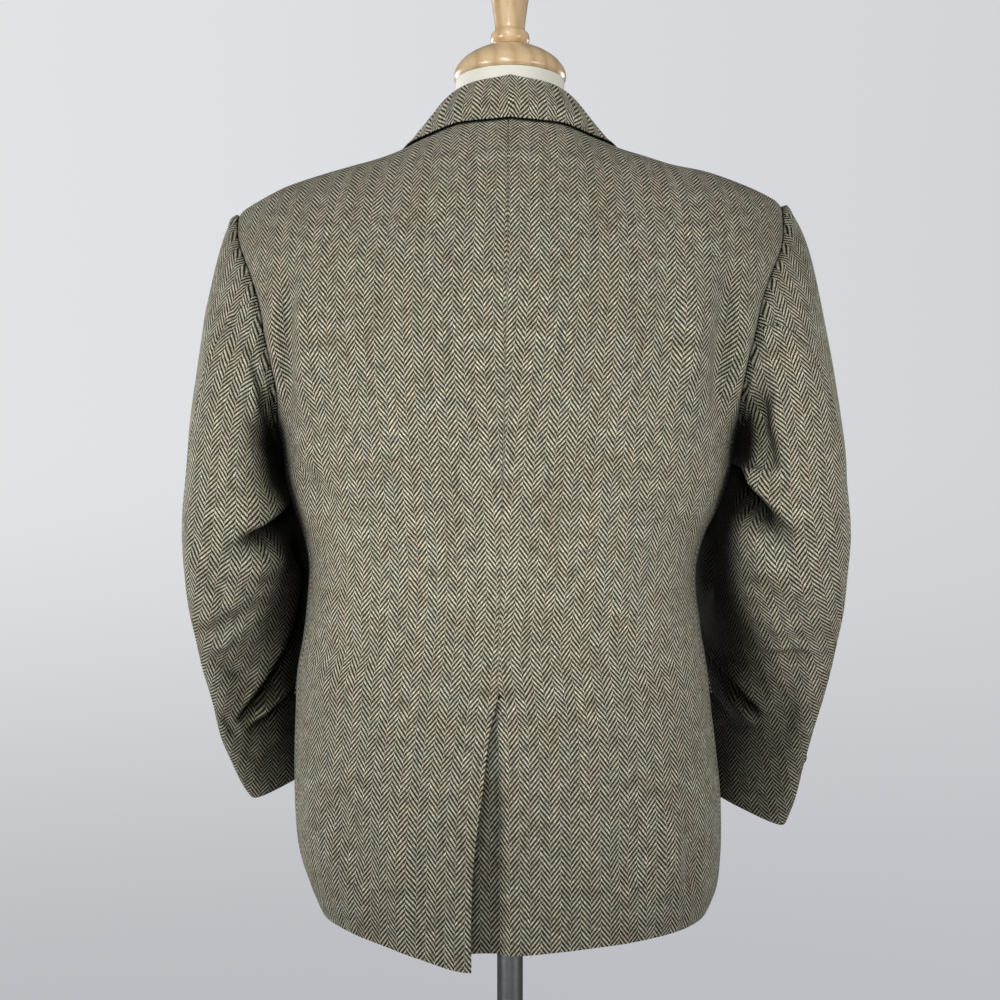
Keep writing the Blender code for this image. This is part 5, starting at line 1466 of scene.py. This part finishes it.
# ---- form and stand ----
def look_form():
    """The same torso as the CAD's form, cut finer."""
    get = columns(FORM_SECTIONS, FORM_COLUMNS)
    outs = np.linspace(*RIDGE_OUTS)
    ridge = np.minimum(RIDGE_HEIGHT[1](outs), RIDGE_HEIGHT[-1](outs)) - FORM_SINK - FORM_CLEARANCE
    low_rows, top_rows = LOOK_FORM_ROWS
    low_end, top_start = LOOK_FORM_SPLIT
    low = np.linspace(FORM_SECTIONS[0][0], low_end, low_rows)
    z = np.concatenate([low, np.linspace(top_start, NECK_TOP, top_rows)])[:, None]
    angles = FULL_TURN * np.arange(LOOK_FORM_SIDES) / LOOK_FORM_SIDES
    half = np.minimum(get["half_width"](z), np.maximum(np.interp(-z, -ridge, outs), NECK_RADIUS))
    x = half * np.sin(angles)
    t = np.clip((z - FORM_TURN) / (np.interp(np.abs(x), outs, ridge) - FORM_TURN), 0, 1)
    depth = np.where(np.cos(angles) >= 0, get["back"](z), get["front"](z))
    y = depth * np.cos(angles) * (1 + FORM_FULLNESS * np.sin(angles) ** 2) * np.sqrt(1 - t * t)
    blend = ramp(z, *NECK_BLEND)
    x = x + (NECK_RADIUS * np.sin(angles) - x) * blend
    y = y + (NECK_MIDDLE + NECK_RADIUS * np.cos(angles) - y) * blend
    rings = np.stack(np.broadcast_arrays(x, y, z), -1)
    settle(capped_tube("look_form_torso", rings, LOOKS["jersey"]), "jersey", "form_torso")


def finer(profile, count):
    """A profile with its first point kept, and a smooth line through the others."""
    points = np.asarray(profile[1:], float)
    t = np.concatenate([[0.0], np.cumsum(np.linalg.norm(np.diff(points, axis=0), axis=1))])
    fine = np.unique(np.concatenate([t, np.linspace(0, t[-1], count)]))
    radius = np.maximum(smooth(t, points[:, 0])(fine), 0)
    radius[[0, -1]] = points[[0, -1], 0]
    return [profile[0], *zip(radius.tolist(), smooth(t, points[:, 1])(fine).tolist())]


def look_stand():
    foot = BASE_PROFILE[-1][1] + SEAM_GAP
    top = FORM_SECTIONS[0][0] - SEAM_GAP
    pole = ((0, foot), (POLE_RADIUS, foot), (POLE_RADIUS, top), (0, top))
    for node, profile, middle_y, slot, sides in (
        ("neck_cap", finer(CAP_PROFILE, CAP_ROWS), NECK_MIDDLE, "beech", CAP_SIDES),
        ("finial", finer(FINIAL_PROFILE, FINIAL_ROWS), NECK_MIDDLE, "beech", FINIAL_SIDES),
        ("stand_base", BASE_PROFILE, 0, "steel", BASE_SIDES),
        ("stand_pole", pole, 0, "steel", POLE_SIDES),
    ):
        settle(lathe(f"look_{node}", profile, (0, middle_y, 0), LOOKS[slot], sides), slot, node)


# ---- looks ----
def arithmetic(operation, swapped=False):
    """A method that joins a value to another by one math node."""
    def method(self, other):
        pair = (other, self) if swapped else (self, other)
        return self.net.math(operation, *pair)
    return method


class Value:
    """A number or colour that nodes work out, with the arithmetic that adds more nodes."""

    def __init__(self, net, socket):
        self.net = net
        self.socket = socket

    __add__ = __radd__ = arithmetic("ADD")
    __mul__ = __rmul__ = arithmetic("MULTIPLY")
    __sub__ = arithmetic("SUBTRACT")
    __rsub__ = arithmetic("SUBTRACT", swapped=True)
    __mod__ = arithmetic("FLOORED_MODULO")
    __gt__ = arithmetic("GREATER_THAN")
    __pow__ = arithmetic("POWER")


class Net:
    """The nodes of a material or a world."""

    def __init__(self, holder):
        holder.use_nodes = True
        self.holder = holder
        self.tree = holder.node_tree

    def put(self, socket, value):
        if isinstance(value, Value):
            self.tree.links.new(value.socket, socket)
        elif isinstance(value, tuple) and socket.type == "RGBA":
            socket.default_value = (*value, 1)
        else:
            socket.default_value = value

    def node(self, kind, inputs, output=0, **settings):
        """One of a new node's outputs; its inputs are named or numbered."""
        made = self.tree.nodes.new(f"ShaderNode{kind}")
        for name, value in settings.items():
            setattr(made, name, value)
        for key, value in inputs.items():
            self.put(made.inputs[key], value)
        return Value(self, made.outputs[output])

    def finished(self, shader, inputs):
        """The material or world, with the inputs of its shader set."""
        for key, value in inputs.items():
            self.put(self.tree.nodes[shader].inputs[key], value)
        return self.holder

    def math(self, operation, *values, clamp=False):
        return self.node("Math", dict(enumerate(values)), operation=operation, use_clamp=clamp)

    def clamped(self, value, factor):
        return self.math("MULTIPLY", value, factor, clamp=True)

    def mix(self, share, a, b):
        return self.node("Mix", {0: share, 6: a, 7: b}, 2, data_type="RGBA")

    def noise(self, vector, scale, detail=2.0, rough=0.5):
        inputs = {"Vector": vector, "Scale": scale, "Detail": detail, "Roughness": rough}
        return self.node("TexNoise", inputs)

    def chance(self, value):
        return self.node("TexWhiteNoise", {"W": value}, noise_dimensions="1D")

    def place(self, *values):
        return self.node("CombineXYZ", dict(enumerate(values)))

    def parts(self, which):
        """The three coordinates of a point, in the object or on the flat cloth."""
        vector = self.node("TexCoord", {}, which)
        outputs = self.node("SeparateXYZ", {0: vector}).socket.node.outputs
        return [Value(self, output) for output in outputs]

    def ramp(self, value, low, high):
        inputs = {"Value": value, "From Min": low, "From Max": high}
        return self.node("MapRange", inputs, interpolation_type="SMOOTHSTEP")

    def camera_ray(self):
        return self.node("LightPath", {}, "Is Camera Ray")

    def painted_shade(self):
        """Painted shade: how open the cloth lies to the light, as a factor on its colour that falls in folds
        and between the sleeve and the body.
        """
        seen = self.node("AmbientOcclusion", {"Distance": HOLLOW_REACH}, "AO", samples=HOLLOW_RAYS)
        shut, free = HOLLOW_RUN
        share = self.math("DIVIDE", seen - shut, free - shut, clamp=True)
        return share * (1 - HOLLOW_LEAST) + HOLLOW_LEAST

    def bump(self, height, strength, distance):
        return self.node("Bump", {"Height": height, "Strength": strength, "Distance": distance})


def material_net(name):
    return Net(bpy.data.materials.new(name))


def between(share, low, high):
    return share * (high - low) + low


def tweed_weave(net, across, up):
    """Broken two-and-two herringbone: which yarns are dark, how high the cloth stands, and its yarns."""
    end, pick = net.math("FLOOR", across), net.math("FLOOR", up)
    in_end, in_pick = across - end, up - pick
    place = end % (2 * COLUMN_ENDS)
    second = place > COLUMN_ENDS - 0.5
    step = place + second * (2 * COLUMN_ENDS + 1 - place - place)
    phase = (pick + step) % 4.0
    dark = phase > 1.5
    rest = phase - 2.0
    run_light = (phase + in_pick) * 0.5
    run_up = (rest + in_end) * 0.5
    run_down = (1.0 - rest + in_end) * 0.5
    run_dark = run_up * (1.0 - second) + run_down * second

    def hump(inside, along):
        off = inside * 2.0 - 1.0
        arch = net.math("SINE", along * math.pi)
        return (1.0 - off * off * YARN_ROUND) * (arch * YARN_DIP + (1 - YARN_DIP))

    height = hump(in_end, run_light) * (1.0 - dark) + hump(in_pick, run_dark) * PICK_HEIGHT * dark
    return dark, height, end, pick


def tweed_look():
    """Cream yarns down the cloth and bark brown ones across it, mottled, with shade painted into the
    hollows.
    """
    net = material_net("tweed")
    u, v, _ = net.parts("UV")
    flat = net.place(u, v, 0.0)
    wander_across = (net.noise(flat, WANDER_ENDS[0]) - 0.5) * WANDER_ENDS[1]
    wander_up = (net.noise(net.place(v, u, 7.0), WANDER_PICKS[0]) - 0.5) * WANDER_PICKS[1]
    dark, height, end, pick = tweed_weave(net, u * (1 / END) + wander_across, v * (1 / PICK) + wander_up)
    by_end, by_pick = net.chance(end), net.chance(pick + 0.37)
    cream = net.mix(by_end * WARM_ENDS, CREAM, CREAM_WARM)
    bark = net.mix(by_pick * WARM_PICKS, BARK, BARK_WARM)
    drift = net.clamped(net.noise(net.place(u, v, 13.0), *DRIFT) - DRIFT_START, DRIFT_SLOPE)
    tint = net.mix(drift, DRIFT_GREEN, DRIFT_BROWN)
    colour = net.node("VectorMath", {0: net.mix(dark, cream, bark), 1: tint}, operation="MULTIPLY")
    streak = net.noise(net.place(end * 3.1, v * 90.0, 0.0), 1.0)
    slub = net.noise(net.place(end * 5.7, v * 34.0, 3.0), 1.0, 1.0) > SLUB_LEAST
    shade = between(streak, *STREAK_TONES) + by_end * END_TONE + slub * SLUB_TONE
    fibre = net.noise(flat, *FIBRE)
    # The yarns' height darkens their low parts: painted shade.
    tone = shade * between(height, *YARN_SHADE_TONES) * between(fibre, *FIBRE_TONES)
    for wide, tall, seed, scale, detail, rough, darkest, lightest in MOTTLES:
        mottle = net.noise(net.place(u * wide, v * tall, seed), scale, detail, rough)
        tone = tone * between(mottle, darkest, lightest)
    # Painted shade: the colour is darkened in folds and between the sleeves and the body.
    tone = net.math("MAXIMUM", tone, LEAST_TONE) * net.painted_shade()
    fuzz = net.noise(flat, *FUZZ)
    return net.finished("Principled BSDF", {
        "Base Color": net.node("VectorMath", {0: colour, "Scale": tone}, operation="SCALE"),
        "Roughness": 0.92,
        "Sheen Weight": 0.05,
        "Sheen Roughness": 0.45,
        "Sheen Tint": TWEED_SHEEN,
        "Specular IOR Level": 0.06,
        "Normal": net.bump(height + fuzz * FUZZ_HEIGHT, *WEAVE_BUMP),
    })


def horn_look():
    net = material_net("horn")
    streak = net.noise(net.place(*net.parts("Object")), 260.0, 3.0, 0.6)
    colour = net.mix(net.clamped(streak - 0.38, 2.2), HORN_DARK, HORN_LIGHT)
    return net.finished("Principled BSDF", {"Base Color": colour, "Roughness": 0.30, "Coat Weight": 0.25})


def jersey_look():
    """Knitted jersey, ribbed round the neck."""
    net = material_net("jersey")
    x, y, z = net.parts("Object")
    turn = net.math("ARCTAN2", x, y - NECK_MIDDLE)
    knit = net.math("SINE", turn * JERSEY_WALES) * net.math("SINE", z * (FULL_TURN / JERSEY_COURSE))
    cloud = net.noise(net.place(x, y, z), 30.0, 3.0)
    return net.finished("Principled BSDF", {
        "Base Color": net.mix(cloud * 0.35, IVORY, IVORY_DULL),
        "Roughness": 0.85,
        "Sheen Weight": 0.15,
        "Normal": net.bump(knit, 0.18, 0.0002),
    })


def beech_look():
    """Varnished wood with rings and short flecks."""
    net = material_net("beech")
    x, y, z = net.parts("Object")
    bend = net.noise(net.place(x, y, z), 9.0)
    band = net.math("SINE", x * 420.0 + bend * 22.0 + y * 160.0) * 0.5 + 0.5
    fleck = net.noise(net.place(x * 900.0, y * 900.0, z * 90.0), 1.0) > 0.62
    share = net.math("ADD", band ** 2.2 * 0.55, fleck * 0.35, clamp=True)
    return net.finished("Principled BSDF", {
        "Base Color": net.mix(share, BEECH_LIGHT, BEECH_DARK),
        "Roughness": 0.34,
        "Coat Weight": 0.6,
        "Coat Roughness": 0.12,
    })


def steel_look():
    net = material_net("steel")
    x, y, z = net.parts("Object")
    grain = net.noise(net.place(x * 40.0, y * 40.0, z * 900.0), 1.0)
    rough = between(grain, 0.26, 0.42)
    return net.finished("Principled BSDF", {"Base Color": STEEL_GREY, "Metallic": 1.0, "Roughness": rough})


def thread_look():
    net = material_net("thread")
    speck = net.noise(net.place(*net.parts("Object")), 500.0)
    colour = net.mix(speck, THREAD, THREAD_DARK)
    return net.finished("Principled BSDF", {"Base Color": colour, "Roughness": 0.7})


def floor_look():
    """A pale floor that is as bright to the eye as the wall, without lighting the cloth from below."""
    net = material_net("floor")
    return net.finished("Principled BSDF", {
        "Base Color": FLOOR_GREY,
        "Roughness": 0.85,
        "Emission Color": FLOOR_GREY,
        "Emission Strength": net.camera_ray() * FLOOR_GLOW,
    })


# ---- room, lamps and camera ----
def room():
    """A pale backdrop for the eye, and the dimmer air of a room that fills the shadows."""
    world = bpy.data.worlds.new("room")
    bpy.context.scene.world = world
    net = Net(world)
    x, _, z = net.parts("Generated")
    lean = net.ramp(x, *LEAN_RUN)
    wall = net.mix(net.ramp(z, *WALL_RUN), net.mix(lean, *WALL_LOW), net.mix(lean, *WALL_HIGH))
    air = net.mix(net.ramp(z, *AIR_RUN), AIR_LOW, AIR_HIGH)
    net.finished("Background", {"Color": net.mix(net.camera_ray(), air, wall)})


def add_thing(name, data, place, rotation):
    made = bpy.data.objects.new(name, data)
    made.location = place
    made.rotation_euler = rotation
    bpy.context.scene.collection.objects.link(made)
    return made


def lamps():
    for row in LAMPS:
        lamp = dict(zip(LAMP_COLUMNS, row))
        data = bpy.data.lights.new(lamp["name"], "SPOT")
        data.spot_size = math.radians(lamp["cone"])
        data.spot_blend = 1.0
        data.shadow_soft_size = lamp["width"] / 2
        data.energy = lamp["power"]
        aim = Vector(lamp["aim"]) - Vector(lamp["place"])
        add_thing(lamp["name"], data, lamp["place"], aim.to_track_quat("-Z", "Y").to_euler())


def floor():
    edge = ((FLOOR_RADIUS, FLOOR_UNDERSIDE), (FLOOR_RADIUS, FLOOR_TOP))
    profile = ((0, FLOOR_UNDERSIDE), *edge, (0, FLOOR_TOP))
    lathe("floor", profile, (0, 0, 0), LOOKS["floor"], FLOOR_SIDES)


def camera():
    """The photo's view: level, from behind, with the frame shifted on to the jacket."""
    data = bpy.data.cameras.new("camera")
    data.sensor_width = CAMERA_SENSOR
    data.lens = CAMERA_LENS
    data.shift_x, data.shift_y = CAMERA_SHIFT
    data.clip_start = CAMERA_CLIP
    facing = (math.radians(90), 0, math.radians(180))
    bpy.context.scene.camera = add_thing("camera", data, CAMERA_PLACE, facing)


def main():
    LOOKS.update(tweed=tweed_look(), horn=horn_look(), jersey=jersey_look(), beech=beech_look(),
                 steel=steel_look(), thread=thread_look(), floor=floor_look())
    for side, table in ((1, SLEEVE_LEFT), (-1, SLEEVE_RIGHT)):
        rows, joint = shared_rows(side, LOOK_ROWS)
        cloth_panel("back", back_panel, side, rows)
        cloth_panel("side", side_panel, side, rows[rows <= joint])
        cloth_panel("front", front_panel, side, rows)
        cloth_sleeves(side, table)
        cloth_lapel(side)
        cloth_flap(side)
    cloth_collar()
    front_buttons()
    look_form()
    look_stand()
    room()
    lamps()
    floor()
    camera()
    bpy.context.scene.view_settings.view_transform = "Standard"


main()
